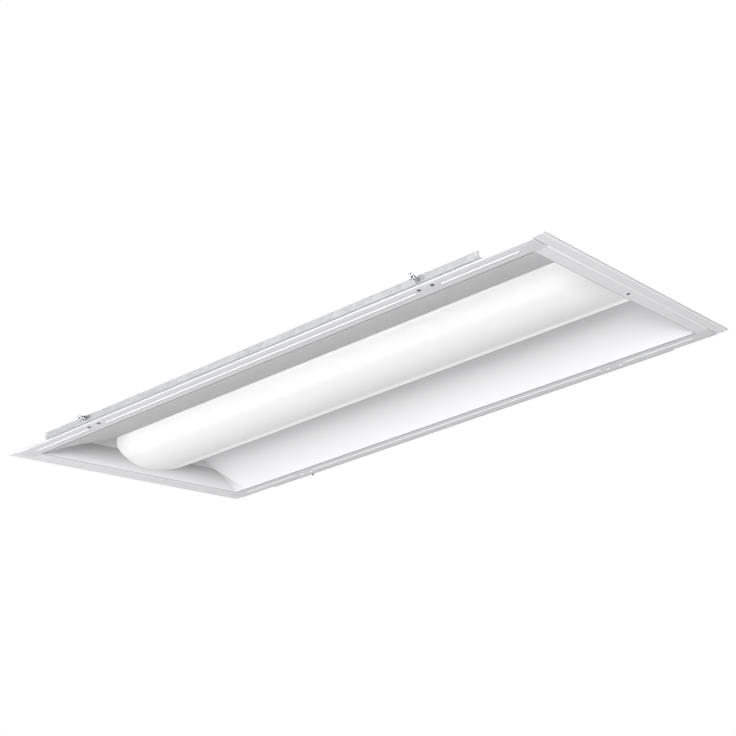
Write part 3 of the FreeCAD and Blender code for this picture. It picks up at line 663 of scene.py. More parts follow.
@dataclass(frozen=True)
class FrameCoat(PowderCoat):
    """The frame's enamel, with painted highlights on crests, folds, the lip and round the end
    screws, painted shade round the opening and on the outer edges, and end rails painted lighter.

    Each band is a pair of distances outwards from the edge that it follows.
    """

    # The pale colour is painted highlight on crests, folds, the lip and round the end screws; the
    # dark one is painted shade on the upstand and outer edges.
    highlight_colour: Colour = (0.97, 0.97, 0.98)
    shade: Colour = (0.50, 0.50, 0.53)
    # Shares of the painted shade in strips along the opening's edge.
    long_shade_share: float = 0.44
    end_shade_share: float = 0.70
    # Share by which the end rails are painted lighter.
    end_light_share: float = 1.12
    open_x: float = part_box("end_rail_right")[0][0]
    open_y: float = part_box("long_rail_far")[0][1]
    fold_x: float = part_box("long_rail_far")[1][0] + CORNER_GAP
    end_x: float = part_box("end_rail_right")[1][0]
    long_hem: Band = (-0.12 * MM, 3.4 * MM)
    end_hem: Band = (-0.3 * MM, 1.6 * MM)
    fold: Band = (-0.9 * MM, 2.1 * MM)
    past_fold: Band = (-0.4 * MM, -0.3 * MM)
    lip: Band = (-5.6 * MM, -1.4 * MM)
    outer_edge: Band = (-1.3 * MM, -1.0 * MM)
    margin: float = 0.12 * MM
    crest_top: float = 0.55 * MM
    # Radius of the painted highlight ring round each end screw.
    screw_ring: float = 5.2 * MM
    ring_fade: float = 1.05
    upstand_y: float = 301.0 * MM
    upstand_z: float = 0.8 * MM

    def stripe(self, reach: Signal, place: float, band: Band) -> Signal:
        """One where a reach lies in a band about a place, zero elsewhere."""
        rise = reach.past(place + band[0], (0.0, self.margin))
        return rise * (1.0 - reach.past(place + band[1], (-self.margin, 0.0)))

    def tone(self, graph: Graph) -> Signal:
        """Colour of the coat: painted highlights on crests, folds, the lip and round the end
        screws, painted shade along the opening and on the upstand and outer edges, and the end
        rails painted lighter.

        Args:
            graph: the material's graph.

        Returns:
            The colour, as a signal.
        """
        margin, height = self.margin, graph.axis("Z")
        along, across = graph.axis("X").size(), graph.axis("Y").size()
        # Painted highlights on the bead crests, the fold, the lip and a ring round each end screw.
        crest = 1.0 - height.past(self.crest_top, (-margin, margin))
        fold = self.stripe(along, self.fold_x, self.fold)
        lip = self.stripe(along, self.end_x, self.lip)
        off = along - (self.open_x + self.fold_x) / 2
        apart = off * off + across * across
        ring = 1.0 - apart.step(self.screw_ring ** 2, (self.ring_fade * self.screw_ring) ** 2)
        highlights = crest.largest(fold, lip, ring)
        # Painted shade on the upstand and along the outermost edge.
        above = height.past(self.upstand_z, (margin, 2 * margin))
        upstand = across.past(self.upstand_y, (0.0, margin)) * above
        rim = upstand.largest(along.past(self.end_x, self.outer_edge))
        # Painted shade in strips along the opening's edge of the long and end rails.
        between = 1.0 - across.past(self.open_y, (-2 * margin, -margin))
        ends = self.stripe(along, self.open_x, self.end_hem) * between
        inside = 1.0 - along.past(self.open_x, (0.0, margin))
        sides = self.stripe(across, self.open_y, self.long_hem) * inside
        # The end rails are painted lighter.
        end_band = between.largest(along.past(self.fold_x, self.past_fold))
        coat = super().tone(graph)
        for mask, share in ((end_band, self.end_light_share), (ends, self.end_shade_share),
                            (sides, self.long_shade_share)):
            coat = graph.blend(mask, coat, shaded(self.colour, share))
        return graph.blend(rim, graph.blend(highlights, coat, self.highlight_colour), self.shade)


@dataclass(frozen=True)
class ReflectorCoat(PowderCoat):
    """The reflectors' enamel, with painted shade that greys it with height into the recess and more
    at the left end.
    """

    # Painted shade greys the coat up to this height, and more at the left end.
    deep: float = 48.0 * MM
    deep_shade_share: float = 0.74
    left_x: float = -534.0 * MM
    left_edge: Band = (-1.0 * MM, 0.0)
    left_shade_share: float = 0.50

    def tone(self, graph: Graph) -> Signal:
        """Colour of the coat: full at the opening, with painted shade greyer up towards the tray
        and darker still at the left end.

        Args:
            graph: the material's graph.

        Returns:
            The colour, as a signal.
        """
        # Painted shade: darker with height up into the recess, and darker still at the left end.
        depth = (graph.axis("Z") * (1 / self.deep)).clamped()
        coat = graph.blend(depth, super().tone(graph), shaded(self.colour, self.deep_shade_share))
        left = 1.0 - graph.axis("X").past(self.left_x, self.left_edge)
        darkest = shaded(self.colour, self.left_shade_share * self.deep_shade_share)
        return graph.blend(left * depth, coat, darkest)


@dataclass(frozen=True)
class OpalAcrylic(Finish):
    """Satin diffuser: milky and etched, with painted shade on its crown, a faint glow as if lit,
    and a painted highlight glowing on its far flank.
    """

    colour: Colour = (0.94, 0.94, 0.945)
    roughness: float = 0.36
    # Share of the painted shade on the crown.
    crown_shade_share: float = 0.86
    flank: Band = (55.0 * MM, 88.0 * MM)
    # A faint glow as if lit brightens the lens; on the far flank it is a painted highlight.
    glow: float = 0.40
    glow_share: float = 0.30
    rim_highlight_share: float = 0.85
    rim: Band = (36.0 * MM, 62.0 * MM)
    cloud: Grain = Grain(7.0, limits=(0.3, 0.7))
    cloud_share: float = 0.99
    etch: Grain = Grain(1900.0)
    etch_spread: float = 0.08
    etch_part: float = 0.7
    drawn: Grain = Grain(60.0, stretch=(0.05, 1.0, 1.0))
    relief: float = 0.01 * MM
    bending: float = 1.49
    milk: float = 0.25
    milk_tint: Colour = (1.0, 1.0, 0.95)
    milk_depth: float = 4.0 * MM

    def fill(self, graph: Graph) -> None:
        """Builds the shader.

        Args:
            graph: the material's graph.
        """
        across = graph.axis("Y")
        cloud, etch, drawn = (graph.noise(grain) for grain in (self.cloud, self.etch, self.drawn))
        body = graph.blend(cloud, shaded(self.colour, self.cloud_share), self.colour)
        # Painted shade: the crown is darker than the flanks.
        crown = shaded(self.colour, self.crown_shade_share)
        lit, highlight_tone = (shaded(self.colour, share) for share in (self.glow_share, self.rim_highlight_share))
        height = etch * self.etch_part + drawn * (1 - self.etch_part)
        graph.principled({
            "Base Color": graph.blend(across.size().step(*self.flank), crown, body),
            # The glow is faint on the near side; on the far flank it is a painted highlight.
            "Emission Color": graph.blend(across.step(*self.rim), lit, highlight_tone),
            "Emission Strength": self.glow,
            "Roughness": etch.about(self.roughness, self.etch_spread),
            "IOR": self.bending,
            "Subsurface Weight": self.milk,
            "Subsurface Radius": self.milk_tint,
            "Subsurface Scale": self.milk_depth,
            "Normal": graph.bump(height, self.relief),
        })


@dataclass(frozen=True)
class Galvanised(Finish):
    """Zinc-dipped sheet: crystals that differ a little in tone and gloss, and long roll marks."""

    colour: Colour = (0.54, 0.55, 0.56)
    metallic: float = 0.6
    roughness: float = 0.32
    crystal_scale: float = 110.0
    crystal_shares: Band = (0.97, 1.03)
    crystal_spread: float = 0.08
    roll: Grain = Grain(55.0, 3.0, stretch=(0.04, 1.0, 1.0))
    roll_spread: float = 0.12
    roll_depth: float = 0.01 * MM
    stain: Grain = Grain(6.0, 4.0, (0.45, 0.75))
    stain_cover: float = 0.10
    stain_share: float = 0.82

    def fill(self, graph: Graph) -> None:
        """Builds the shader.

        Args:
            graph: the material's graph.
        """
        inputs = {"Vector": graph.place(), "Scale": self.crystal_scale}
        cells = graph.node("ShaderNodeTexVoronoi", None, inputs, output="Color")
        tone = graph.node("ShaderNodeSeparateColor", None, {"Color": cells})
        roll, stain = graph.noise(self.roll), graph.noise(self.stain)
        dark, light = (shaded(self.colour, share) for share in self.crystal_shares)
        colour = graph.blend(tone, dark, light)
        dull = shaded(self.colour, self.stain_share)
        graph.principled({
            "Base Color": graph.blend(stain * self.stain_cover, colour, dull),
            "Metallic": self.metallic,
            "Roughness": tone * self.crystal_spread + roll * self.roll_spread + self.roughness,
            "Normal": graph.bump(roll, self.roll_depth),
        })


@dataclass(frozen=True)
class Plated(Finish):
    """Plated or blued metal: turning marks, a slow drift of tint and small dull spots."""

    colour: Colour = (0.66, 0.67, 0.68)
    tint: Colour = (0.60, 0.66, 0.74)
    roughness: float = 0.26
    metallic: float = 1.0
    drift: Grain = Grain(90.0, limits=(0.35, 0.7))
    drift_cover: float = 0.5
    spots: Grain = Grain(700.0, 3.0, (0.58, 0.72))
    spot_cover: float = 0.5
    spot_share: float = 0.6
    spot_spread: float = 0.22
    marks: Grain = Grain(500.0, stretch=(1.0, 0.12, 1.0))
    mark_spread: float = 0.12
    mark_depth: float = 0.008 * MM

    def tone(self, graph: Graph) -> Signal:
        """Colour of the plating before its spots."""
        return graph.blend(graph.noise(self.drift) * self.drift_cover, self.colour, self.tint)

    def fill(self, graph: Graph) -> None:
        """Builds the shader.

        Args:
            graph: the material's graph.
        """
        spots, marks = graph.noise(self.spots), graph.noise(self.marks)
        dull = shaded(self.colour, self.spot_share)
        gloss = spots * self.spot_spread + marks * self.mark_spread
        graph.principled({
            "Base Color": graph.blend(spots * self.spot_cover, self.tone(graph), dull),
            "Metallic": self.metallic,
            "Roughness": gloss + (self.roughness - self.mark_spread / 2),
            "Normal": graph.bump(marks, self.mark_depth),
        })


@dataclass(frozen=True)
class HighlitPhosphate(Plated):
    """Dark screws, of which those on one side of the middle carry a painted highlight that makes
    them bright.
    """

    highlight_tone: Colour = (0.92, 0.92, 0.93)
    axis: str = "Y"
    sense: float = 1.0
    fade: Band = (0.0, 10 * MM)

    def tone(self, graph: Graph) -> Signal:
        """Colour of the screws: a painted highlight on the side that the sense gives."""
        # Painted highlight: screws past the middle on the chosen side take the bright colour.
        highlit = (graph.axis(self.axis) * self.sense).step(*self.fade)
        return graph.blend(highlit, super().tone(graph), self.highlight_tone)


@dataclass(frozen=True)
class Moulded(Finish):
    """Moulded plastic or resin: spark-eroded grain and a faint flow in its colour."""

    colour: Colour = (0.5, 0.5, 0.5)
    roughness: float = 0.48
    grain: Grain = Grain(1500.0)
    grain_spread: float = 0.16
    grain_depth: float = 0.02 * MM
    flow: Grain = Grain(60.0, 3.0, (0.3, 0.7))
    flow_shares: Band = (0.93, 1.04)

    def fill(self, graph: Graph) -> None:
        """Builds the shader.

        Args:
            graph: the material's graph.
        """
        grain = graph.noise(self.grain)
        dark, light = (shaded(self.colour, share) for share in self.flow_shares)
        graph.principled({
            "Base Color": graph.blend(graph.noise(self.flow), dark, light),
            "Roughness": grain.about(self.roughness, self.grain_spread),
            "Normal": graph.bump(grain, self.grain_depth),
        })


@dataclass(frozen=True)
class SolderMask(Finish):
    """White board lacquer with copper runs that show faintly through it."""

    colour: Colour = (0.93, 0.93, 0.91)
    roughness: float = 0.34
    pitch: float = 4.7 * MM
    run: Band = (0.30, 0.36)
    breaks: Grain = Grain(45.0, 1.0, (0.47, 0.53), (1.0, 0.2, 1.0))
    copper: Colour = (0.80, 0.76, 0.66)
    copper_cover: float = 0.35
    copper_gloss: float = 0.06
    copper_depth: float = 0.03 * MM

    def fill(self, graph: Graph) -> None:
        """Builds the shader.

        Args:
            graph: the material's graph.
        """
        place = graph.axis("Y")
        saw = place.math("WRAP", place, self.pitch, 0.0) - self.pitch / 2
        runs = saw.size().step(*(self.pitch * share for share in self.run))
        copper = runs * graph.noise(self.breaks)
        graph.principled({
            "Base Color": graph.blend(copper * self.copper_cover, self.colour, self.copper),
            "Roughness": self.roughness - copper * self.copper_gloss,
            "Normal": graph.bump(copper, self.copper_depth),
        })


FRAME_ENAMEL = FrameCoat("frame_enamel", (0.80, 0.80, 0.815), 0.40, shine=0.25)
REFLECTOR_ENAMEL = ReflectorCoat("reflector_enamel", (0.94, 0.94, 0.955), 0.60, shine=0.12)
COVER_ENAMEL = PowderCoat("cover_enamel", (0.82, 0.82, 0.825), 0.42)
DRIVER_SHELL = PowderCoat("driver_shell", (0.74, 0.75, 0.76), 0.36, peel=Grain(900.0))
EARTH_GREEN = PowderCoat("earth_green", (0.05, 0.30, 0.11), 0.32)
LENS_ACRYLIC = OpalAcrylic("lens_acrylic")
GALVANISED = Galvanised("galvanised_sheet")
ZINC = Plated("zinc_plate")
# The left end screw and the far bracket screws carry a painted highlight.
END_SCREW = HighlitPhosphate("zinc_plate", (0.14, 0.14, 0.15), (0.10, 0.10, 0.12), 0.36, axis="X",
                            sense=-1.0, ending="end_finish")
NUT_ZINC = Plated("zinc_plate", (0.46, 0.47, 0.49), (0.36, 0.38, 0.43), 0.20, ending="nut_finish")
RAIL_SCREW = HighlitPhosphate("dark_screw", (0.085, 0.085, 0.09), (0.06, 0.06, 0.07), 0.42, 0.8,
                             ending="rail_finish")
SPRING_STEEL = Plated("spring_steel", (0.42, 0.44, 0.47), (0.30, 0.34, 0.46), 0.30)
BOARD_WHITE = SolderMask("board_white")
PHOSPHOR = Moulded("diode_yellow", (0.93, 0.74, 0.20), 0.30, Grain(3000.0))
CONNECTOR_WHITE = Moulded("connector_white", (0.88, 0.87, 0.83))
TERMINAL_GREY = Moulded("terminal_grey", (0.42, 0.43, 0.45))
BLACK_NYLON = Moulded("black_nylon", (0.03, 0.03, 0.032), 0.40)


def show(piece: bpy.types.Object, finish: Finish, body: Union[Body, str], *nodes: str) -> None:
    """Finishes a new piece, sets it on its body and lets it stand for nodes.

    Args:
        piece: the new object.
        finish: its finish.
        body: the body that it rides on, or that body's name.
        *nodes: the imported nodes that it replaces.
    """
    body = body.value if isinstance(body, Body) else body
    piece.data.materials.clear()
    piece.data.materials.append(finish.material())
    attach(piece, body)
    if nodes:
        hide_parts(*nodes)
    LOG.info("%s on %s, %d faces", piece.name, body, len(piece.data.polygons))


def dress_node(node: str, finish: Finish) -> None:
    """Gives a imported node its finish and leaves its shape.

    Args:
        node: the node's name.
        finish: its finish.
    """
    piece = frame["nodes"][node]
    piece.data.materials.clear()
    piece.data.materials.append(finish.material())
    LOG.info("%s dressed in %s", node, finish.slot)


def soften(finish: Finish, bevel: float, *nodes: str) -> None:
    """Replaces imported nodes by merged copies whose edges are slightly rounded.

    Args:
        finish: their finish.
        bevel: width of the rounding.
        *nodes: the nodes.
    """
    for node in nodes:
        source = frame["nodes"][node]
        mesh = bpy.data.meshes.new(f"{node}_soft")
        work = bmesh.new()
        work.from_mesh(source.data)
        bmesh.ops.remove_doubles(work, verts=work.verts, dist=MERGE_DISTANCE)
        flat = math.radians(FLAT_DEG)
        bmesh.ops.dissolve_limit(work, angle_limit=flat, verts=work.verts, edges=work.edges)
        work.to_mesh(mesh)
        work.free()
        copy = finished(f"{node}_soft", mesh, SHARP_DEG, bevel)
        show(copy, finish, source["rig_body"], node)


@dataclass
class Fixture:
    """Sizes that the sub-assemblies share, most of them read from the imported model."""

    frame_sheet: float = 0.8 * MM
    bead_drop: float = 0.8 * MM
    corner_gap: float = CORNER_GAP
    fit: float = 0.2 * MM
    end_run_per_rise: float = 0.86

    def __post_init__(self) -> None:
        """Reads the main places."""
        low, high = corners_of("long_rail_far")
        end_low, end_high = corners_of("end_rail_right")
        self.face = low[2] + self.bead_drop
        self.band_top = self.face + self.frame_sheet
        self.open_y, self.half_width = low[1], high[1]
        self.edge_top = high[2]
        self.open_x, self.half_length = end_low[0], end_high[0]
        self.step_x = high[0] + self.corner_gap
        self.tray_low = corners_of("light_tray")[0][2]

    def end_plane_x(self, z: np.ndarray) -> np.ndarray:
        """X of the sloping end plate's inner face at a height."""
        return self.open_x - self.end_run_per_rise * (z - self.band_top)


@dataclass(frozen=True)
class ScrewHead:
    """A low domed head that hangs under its seat, with a cross recess, and its shank above.

    The recess's sizes are shares of the head's radius and height.
    """

    radius: float = 3.4 * MM
    height: float = 0.7 * MM
    shank_radius: float = 1.9 * MM
    shank_length: float = 6.0 * MM
    arm: float = 0.58
    arm_fade: float = 0.25
    arm_half: float = 0.13
    side_fade: float = 1.6
    recess: float = 0.85
    rows: int = 18
    segments: int = 48
    shank_segments: int = 20
    axis: tuple[int, int, int] = (0, 0, -1)

    def add(self, surface: Surface, seat: Sequence[float]) -> None:
        """Adds the head and its shank.

        The head's height is a flattened dome, the full height times the square root of one
        minus the fourth power of the relative radius, less a recess that is deepest in the
        middle and falls off smoothly along and across its four arms.

        Args:
            surface: the surface that they are added to.
            seat: point on the axis where the head sits.
        """
        share = np.sin(np.linspace(0, QUARTER_TURN, self.rows))[:, None]
        angle = round_angles(self.segments)[None]
        x, y = share * np.cos(angle), share * np.sin(angle)
        dome = self.height * np.sqrt(np.clip(1 - np.broadcast_to(share, x.shape) ** 4, 0, 1))
        wide, narrow = np.maximum(np.abs(x), np.abs(y)), np.minimum(np.abs(x), np.abs(y))
        along = smooth_step(-wide, -self.arm, -self.arm_fade * self.arm)
        across = smooth_step(-narrow, -self.side_fade * self.arm_half, -self.arm_half)
        level = dome - self.recess * self.height * along * across
        up, first, second = standing_axes(self.axis)
        spread = self.radius * (x[..., None] * first + y[..., None] * second)
        points = np.array(seat) + spread + level[..., None] * up
        surface.grid(points, closed=True)
        base = np.array(seat) + np.zeros((1, points.shape[1], 3))
        surface.grid(np.concatenate([points[-1:], base]), closed=True)
        foot = (self.shank_radius, -self.shank_length)
        stub = np.array([(0.0, foot[1]), foot, (foot[0], 0.0)])
        surface.grid(revolved(stub, seat, self.axis, self.shank_segments), closed=True)


@dataclass
class FaceFrame:
    """The flat frame: long rails with stamped beads, stepped end rails, straps and screws."""

    fixture: Fixture
    bend: float = 0.5 * MM
    edge_round: float = 0.18 * MM
    long_sharp_deg: float = 40.0
    end_sharp_deg: float = 24.0
    bead_inset: float = 21.5 * MM
    bead_width: float = 2.3 * MM
    bead_corner_stop: float = 38.0 * MM
    bead_screw_stop: float = 13.0 * MM
    bead_end_reach: float = 1.1
    bead_end_steps: int = 15
    bead_side_reach: float = 1.15
    bead_side_steps: int = 19
    rail_steps: int = 49
    screw_half_spacing: float = 12.8 * MM
    screw_inset: float = 13.5 * MM
    flange_step: float = 1.2 * MM
    lip_width: float = 4.0 * MM
    lip_rise: float = 1.4 * MM
    head: ScrewHead = ScrewHead()

    def bracket_x(self) -> float:
        """X of the middle of the right bracket."""
        low, high = corners_of("rail_bracket_far_right")
        return (low[0] + high[0]) / 2

    def bead_spans(self) -> list[tuple[float, float]]:
        """Low and high X of each bead's axis on a long rail.

        Returns:
            A pair for each bead, from left to right.
        """
        inner = self.bracket_x() - self.screw_half_spacing - self.bead_screw_stop
        outer = self.bracket_x() + self.screw_half_spacing + self.bead_screw_stop
        end = self.fixture.step_x - self.bead_corner_stop
        return [(-end, -outer), (-inner, inner), (outer, end)]

    def bead_depth(self, x: np.ndarray, y: np.ndarray) -> np.ndarray:
        """Depth of the beads: a squared cosine of the distance from each bead's axis.

        Args:
            x: places along the rail.
            y: places across it.

        Returns:
            The depth at each place.
        """
        axis_y = self.fixture.half_width - self.bead_inset
        depth = np.zeros(np.broadcast(x, y).shape)
        for low, high in self.bead_spans():
            past = np.maximum(np.maximum(low - x, x - high), 0)
            near = raised_cosine(np.hypot(past, y - axis_y), self.bead_width)
            depth = np.maximum(depth, near)
        return self.fixture.bead_drop * depth

    def rail_stations(self) -> np.ndarray:
        """Places along a long rail, close together at the bead ends.

        Returns:
            X of each place, in order.
        """
        reach = self.fixture.step_x - self.fixture.corner_gap
        ends = np.array(self.bead_spans()).ravel()
        near = np.linspace(-self.bead_end_reach, self.bead_end_reach, self.bead_end_steps)
        fine = ends[:, None] + near[None] * self.bead_width
        even = np.linspace(-reach, reach, self.rail_steps)
        return np.unique(np.concatenate([even, fine.ravel()]))

    def long_rail(self, side: Side) -> None:
        """Builds one long rail.

        Args:
            side: the rail's side.
        """
        size = self.fixture
        edge = size.half_width
        corners = [(size.open_y, size.face), (edge, size.face), (edge, size.edge_top)]
        sides = folded_sides(corners, size.frame_sheet, self.bend)
        flat = sides[0][1, 0] - size.open_y
        axis = (edge - self.bead_inset - size.open_y) / flat
        spread = self.bead_side_reach * self.bead_width / flat
        fine = axis + np.linspace(-spread, spread, self.bead_side_steps)
        face, back, _ = finer(sides, np.append(fine, [axis / 2, (1 + axis) / 2]))

        def place(profile: np.ndarray, along: np.ndarray) -> np.ndarray:
            """Section along X, pressed down at the beads.

            Args:
                profile: rows of a section's two coordinates.
                along: places along the line.

            Returns:
                A grid of points.
            """
            x = np.broadcast_to(along[None], (len(profile), len(along)))
            y = np.broadcast_to(profile[:, :1], x.shape)
            z = profile[:, 1:] - self.bead_depth(x, y)
            return np.stack([x, side.value * y, z], axis=-1)

        rail = Surface(f"rail_band_{side.name.lower()}")
        rail.sheet(face, back, place, self.rail_stations())
        piece = rail.build(self.long_sharp_deg, self.edge_round)
        show(piece, FRAME_ENAMEL, Body.HOUSING, f"long_rail_{side.name.lower()}")

    def end_rail(self, end: End) -> None:
        """Builds one end rail with its stepped flange and raised lip.

        Args:
            end: the rail's end.
        """
        size = self.fixture
        flange = size.face + self.flange_step
        step_end = size.step_x + self.flange_step
        corners = [
            (size.open_x, size.face),
            (size.step_x, size.face),
            (step_end, flange),
            (size.half_length - self.lip_width, flange),
            (size.half_length, flange + self.lip_rise),
        ]
        face, back = folded_sides(corners, size.frame_sheet, self.bend)
        # The point at the step's foot is doubled: the flange reaches past the long rails' ends.
        split = 2 * BEND_POINTS
        face, back = (np.insert(part, split, part[split], axis=0) for part in (face, back))
        inner = size.open_y - size.fit
        reach = np.where(np.arange(len(face)) <= split, inner, size.half_width)
        half = [inner / 2, inner, size.half_width]
        stations = np.array([-place for place in half[::-1]] + [0] + half)
        rail = Surface(f"end_band_{end.name.lower()}")
        rail.sheet(face, back, along_y(lambda profile: reach, end.value), stations)
        piece = rail.build(self.end_sharp_deg, self.edge_round)
        show(piece, FRAME_ENAMEL, Body.HOUSING, f"end_rail_{end.name.lower()}")

    def screws(self) -> None:
        """Builds the bracket screws and the end screws."""
        size = self.fixture
        places = [sign * (self.bracket_x() + offset) for sign in (-1, 1)
                  for offset in (-self.screw_half_spacing, self.screw_half_spacing)]
        y = size.half_width - self.screw_inset
        bracket = Surface("bracket_screw_heads")
        for x in places:
            for side in Side:
                self.head.add(bracket, (x, side.value * y, size.face))
        show(bracket.build(), RAIL_SCREW, Body.HOUSING, "bracket_screws")
        ends = Surface("end_screw_heads")
        for end in End:
            middle = end.value * (size.open_x + (size.step_x - size.open_x) / 2)
            self.head.add(ends, (middle, 0.0, size.face))
        show(ends.build(), END_SCREW, Body.HOUSING, "end_screws")

    def build(self) -> None:
        """Builds the whole frame."""
        for side in Side:
            self.long_rail(side)
        for end in End:
            self.end_rail(end)
        self.screws()
        soften(GALVANISED, 0.12 * MM, "corner_straps")


@dataclass
class Optics:
    """Reflector wings, end plates and the crowned lens."""

    fixture: Fixture
    sheet: float = 0.8 * MM
    bend: float = 0.6 * MM
    sharp_deg: float = 38.0
    sheet_round: float = 0.15 * MM
    lens_round: float = 0.3 * MM
    wing_flange: float = 10.0 * MM
    wing_bow: float = 1.6 * MM
    wing_edge_y: float = 111.2 * MM
    wing_edge_z: float = 47.9 * MM
    end_flange: float = 19.0 * MM
    end_flange_half: float = 246.0 * MM
    end_top_flange: float = 14.0 * MM
    end_side_cover: float = 4.0 * MM
    ledge_half: float = 107.7 * MM
    lens_wall: float = 2.0 * MM
    lens_end_gap: float = 1.0 * MM
    lens_corner: float = 2.4 * MM
    lens_hem: float = 7.0 * MM
    crown_deg: float = 25.0
    haunch_deg: float = 66.0
    flange_clear_sheets: float = 1.5
    slope_rows: int = 26
    wing_steps: int = 25
    plate_rows: int = 14
    plate_steps: int = 30
    lens_rows: tuple[int, int, int] = (22, 26, 7)
    lens_steps: int = 41

    def tray_half(self) -> float:
        """Half the width of the tray."""
        return corners_of("light_tray")[1][1]

    def wing(self, side: Side) -> None:
        """Builds one wing: rail flange, bowed slope, return beside the lens and tray ledge.

        The bow lifts the slope by four times its height times the share of the way along the
        slope times the rest of it.

        Args:
            side: the wing's side.
        """
        size = self.fixture
        corners = [
            (size.open_y + self.wing_flange, size.band_top),
            (size.open_y, size.band_top),
            (self.wing_edge_y, self.wing_edge_z),
            (self.wing_edge_y, size.tray_low),
            (self.tray_half(), size.tray_low),
        ]
        sides = folded_sides(corners, -self.sheet, self.bend)
        slope = (sides[0][:-1, 0] - sides[0][1:, 0]).argmax()
        face, back, rows = finer(sides, slope + np.linspace(0, 1, self.slope_rows)[1:-1])
        share = np.clip(rows - slope, 0, 1)
        normal = turned(directions(np.array([corners[1], corners[2]])))[0]
        lift = (4 * self.wing_bow * share * (1 - share))[:, None] * -normal
        wing = Surface(f"wing_{side.name.lower()}")
        place = along_x(lambda z: size.end_plane_x(z) - size.fit, side.value)
        wing.sheet(face + lift, back + lift, place, np.linspace(-1, 1, self.wing_steps))
        piece = wing.build(self.sharp_deg, self.sheet_round)
        show(piece, REFLECTOR_ENAMEL, Body.HOUSING, f"reflector_wing_{side.name.lower()}")

    def end_reach(self, profile: np.ndarray) -> np.ndarray:
        """Half the end plate's width at each point of its section.

        Args:
            profile: rows of X and Z.

        Returns:
            Half the width at each row.
        """
        size = self.fixture
        wide = size.open_y - size.fit
        low = size.band_top + self.end_side_cover
        high = self.wing_edge_z + self.end_side_cover
        slope = np.interp(profile[:, 1], [low, high], [wide, self.tray_half()])
        top_x = size.end_plane_x(size.tray_low - self.sheet)
        flange = profile[:, 0] > size.open_x + self.flange_clear_sheets * self.sheet
        ledge = profile[:, 0] < top_x - size.fit
        return np.where(flange, self.end_flange_half, np.where(ledge, self.ledge_half, slope))

    def end_plate(self, end: End) -> None:
        """Builds one end plate: flange on the end rail, slope and ledge under the tray.

        Args:
            end: the plate's end.
        """
        size = self.fixture
        top = size.tray_low - self.sheet
        top_x = size.end_plane_x(top)
        corners = [
            (size.open_x + self.end_flange, size.band_top),
            (size.open_x, size.band_top),
            (top_x, top),
            (top_x - self.end_top_flange, top),
        ]
        wide = size.open_y - size.fit
        limits = np.array([self.end_flange_half, wide, self.ledge_half, self.tray_half()])
        spread = np.linspace(0, limits.max(), self.plate_steps)
        half = np.unique(np.concatenate([limits, spread]))
        stations = np.concatenate([-half[::-1], half[1:]])
        slope = BEND_POINTS + np.linspace(0, 1, self.plate_rows)[1:-1]
        face, back, _ = finer(folded_sides(corners, -self.sheet, self.bend), slope)
        plate = Surface(f"end_reflector_{end.name.lower()}")
        reach = self.end_reach(face)
        plate.sheet(face, back, along_y(lambda profile: reach, end.value), stations)
        piece = plate.build(self.sharp_deg, self.sheet_round)
        show(piece, REFLECTOR_ENAMEL, Body.HOUSING, f"end_plate_{end.name.lower()}")

    def lens_half(self, half_width: float, depth: float) -> tuple[np.ndarray, np.ndarray]:
        """Outer face of half the lens, from the middle to the top of its hem.

        The section's slope angle grows along it. On each arc a point is the arc's start plus the
        radius times the change of sine across and of minus cosine up. The two big radii follow
        from the half width and the depth.

        Args:
            half_width: from the middle to the hem.
            depth: from the bottom to the corner of the hem.

        Returns:
            Points as rows of Y and height over the bottom, and the slope angle at each.
        """
        crown, haunch = math.radians(self.crown_deg), math.radians(self.haunch_deg)
        sines = np.array([math.sin(crown), math.sin(haunch) - math.sin(crown)])
        rises = np.array([1 - math.cos(crown), math.cos(crown) - math.cos(haunch)])
        radii = np.linalg.solve(np.stack([sines, rises]), np.array([half_width, depth]))
        stop = haunch - self.lens_corner * math.tan((QUARTER_TURN - haunch) / 2) / radii[1]
        breaks = np.array([0.0, crown, stop, QUARTER_TURN])
        sine, cosine = np.sin(breaks), np.cos(breaks)
        sizes = np.array([radii[0], radii[1], self.lens_corner])
        moves = sizes[:, None] * np.stack([np.diff(sine), -np.diff(cosine)], axis=1)
        starts = np.vstack([np.zeros((1, 2)), np.cumsum(moves, axis=0)])
        runs = [np.linspace(*ends) for ends in zip(breaks, breaks[1:], self.lens_rows)]
        angle = np.concatenate([runs[0]] + [run[1:] for run in runs[1:]])
        arc = np.clip(np.searchsorted(breaks, angle, side="left") - 1, 0, len(runs) - 1)
        turn = np.stack([np.sin(angle) - sine[arc], cosine[arc] - np.cos(angle)], axis=1)
        points = starts[arc] + sizes[arc][:, None] * turn
        top = np.array([[points[-1, 0], depth + self.lens_hem]])
        return np.vstack([points, top]), np.append(angle, QUARTER_TURN)

    def lens(self) -> None:
        """Builds the lens as a closed shell whose ends follow the sloping end plates."""
        size = self.fixture
        low, high = corners_of("lens")
        depth = high[2] - low[2] - self.lens_hem
        half, angle = self.lens_half(high[1], depth)
        outer = np.vstack([half[:0:-1] * [-1, 1], half]) + [0, low[2]]
        slope = np.concatenate([-angle[:0:-1], angle])
        inward = np.stack([-np.sin(slope), np.cos(slope)], axis=1)
        inner = outer + self.lens_wall * inward
        shell = Surface("lens_shell")
        place = along_x(lambda z: size.end_plane_x(z) - self.lens_end_gap)
        shell.sheet(outer, inner, place, np.linspace(-1, 1, self.lens_steps))
        show(shell.build(self.sharp_deg, self.lens_round), LENS_ACRYLIC, Body.LENS, "lens")

    def build(self) -> None:
        """Builds wings, end plates, lens and clips."""
        for side in Side:
            self.wing(side)
        for end in End:
            self.end_plate(end)
        self.lens()
        soften(SPRING_STEEL, 0.08 * MM, "lens_clips")


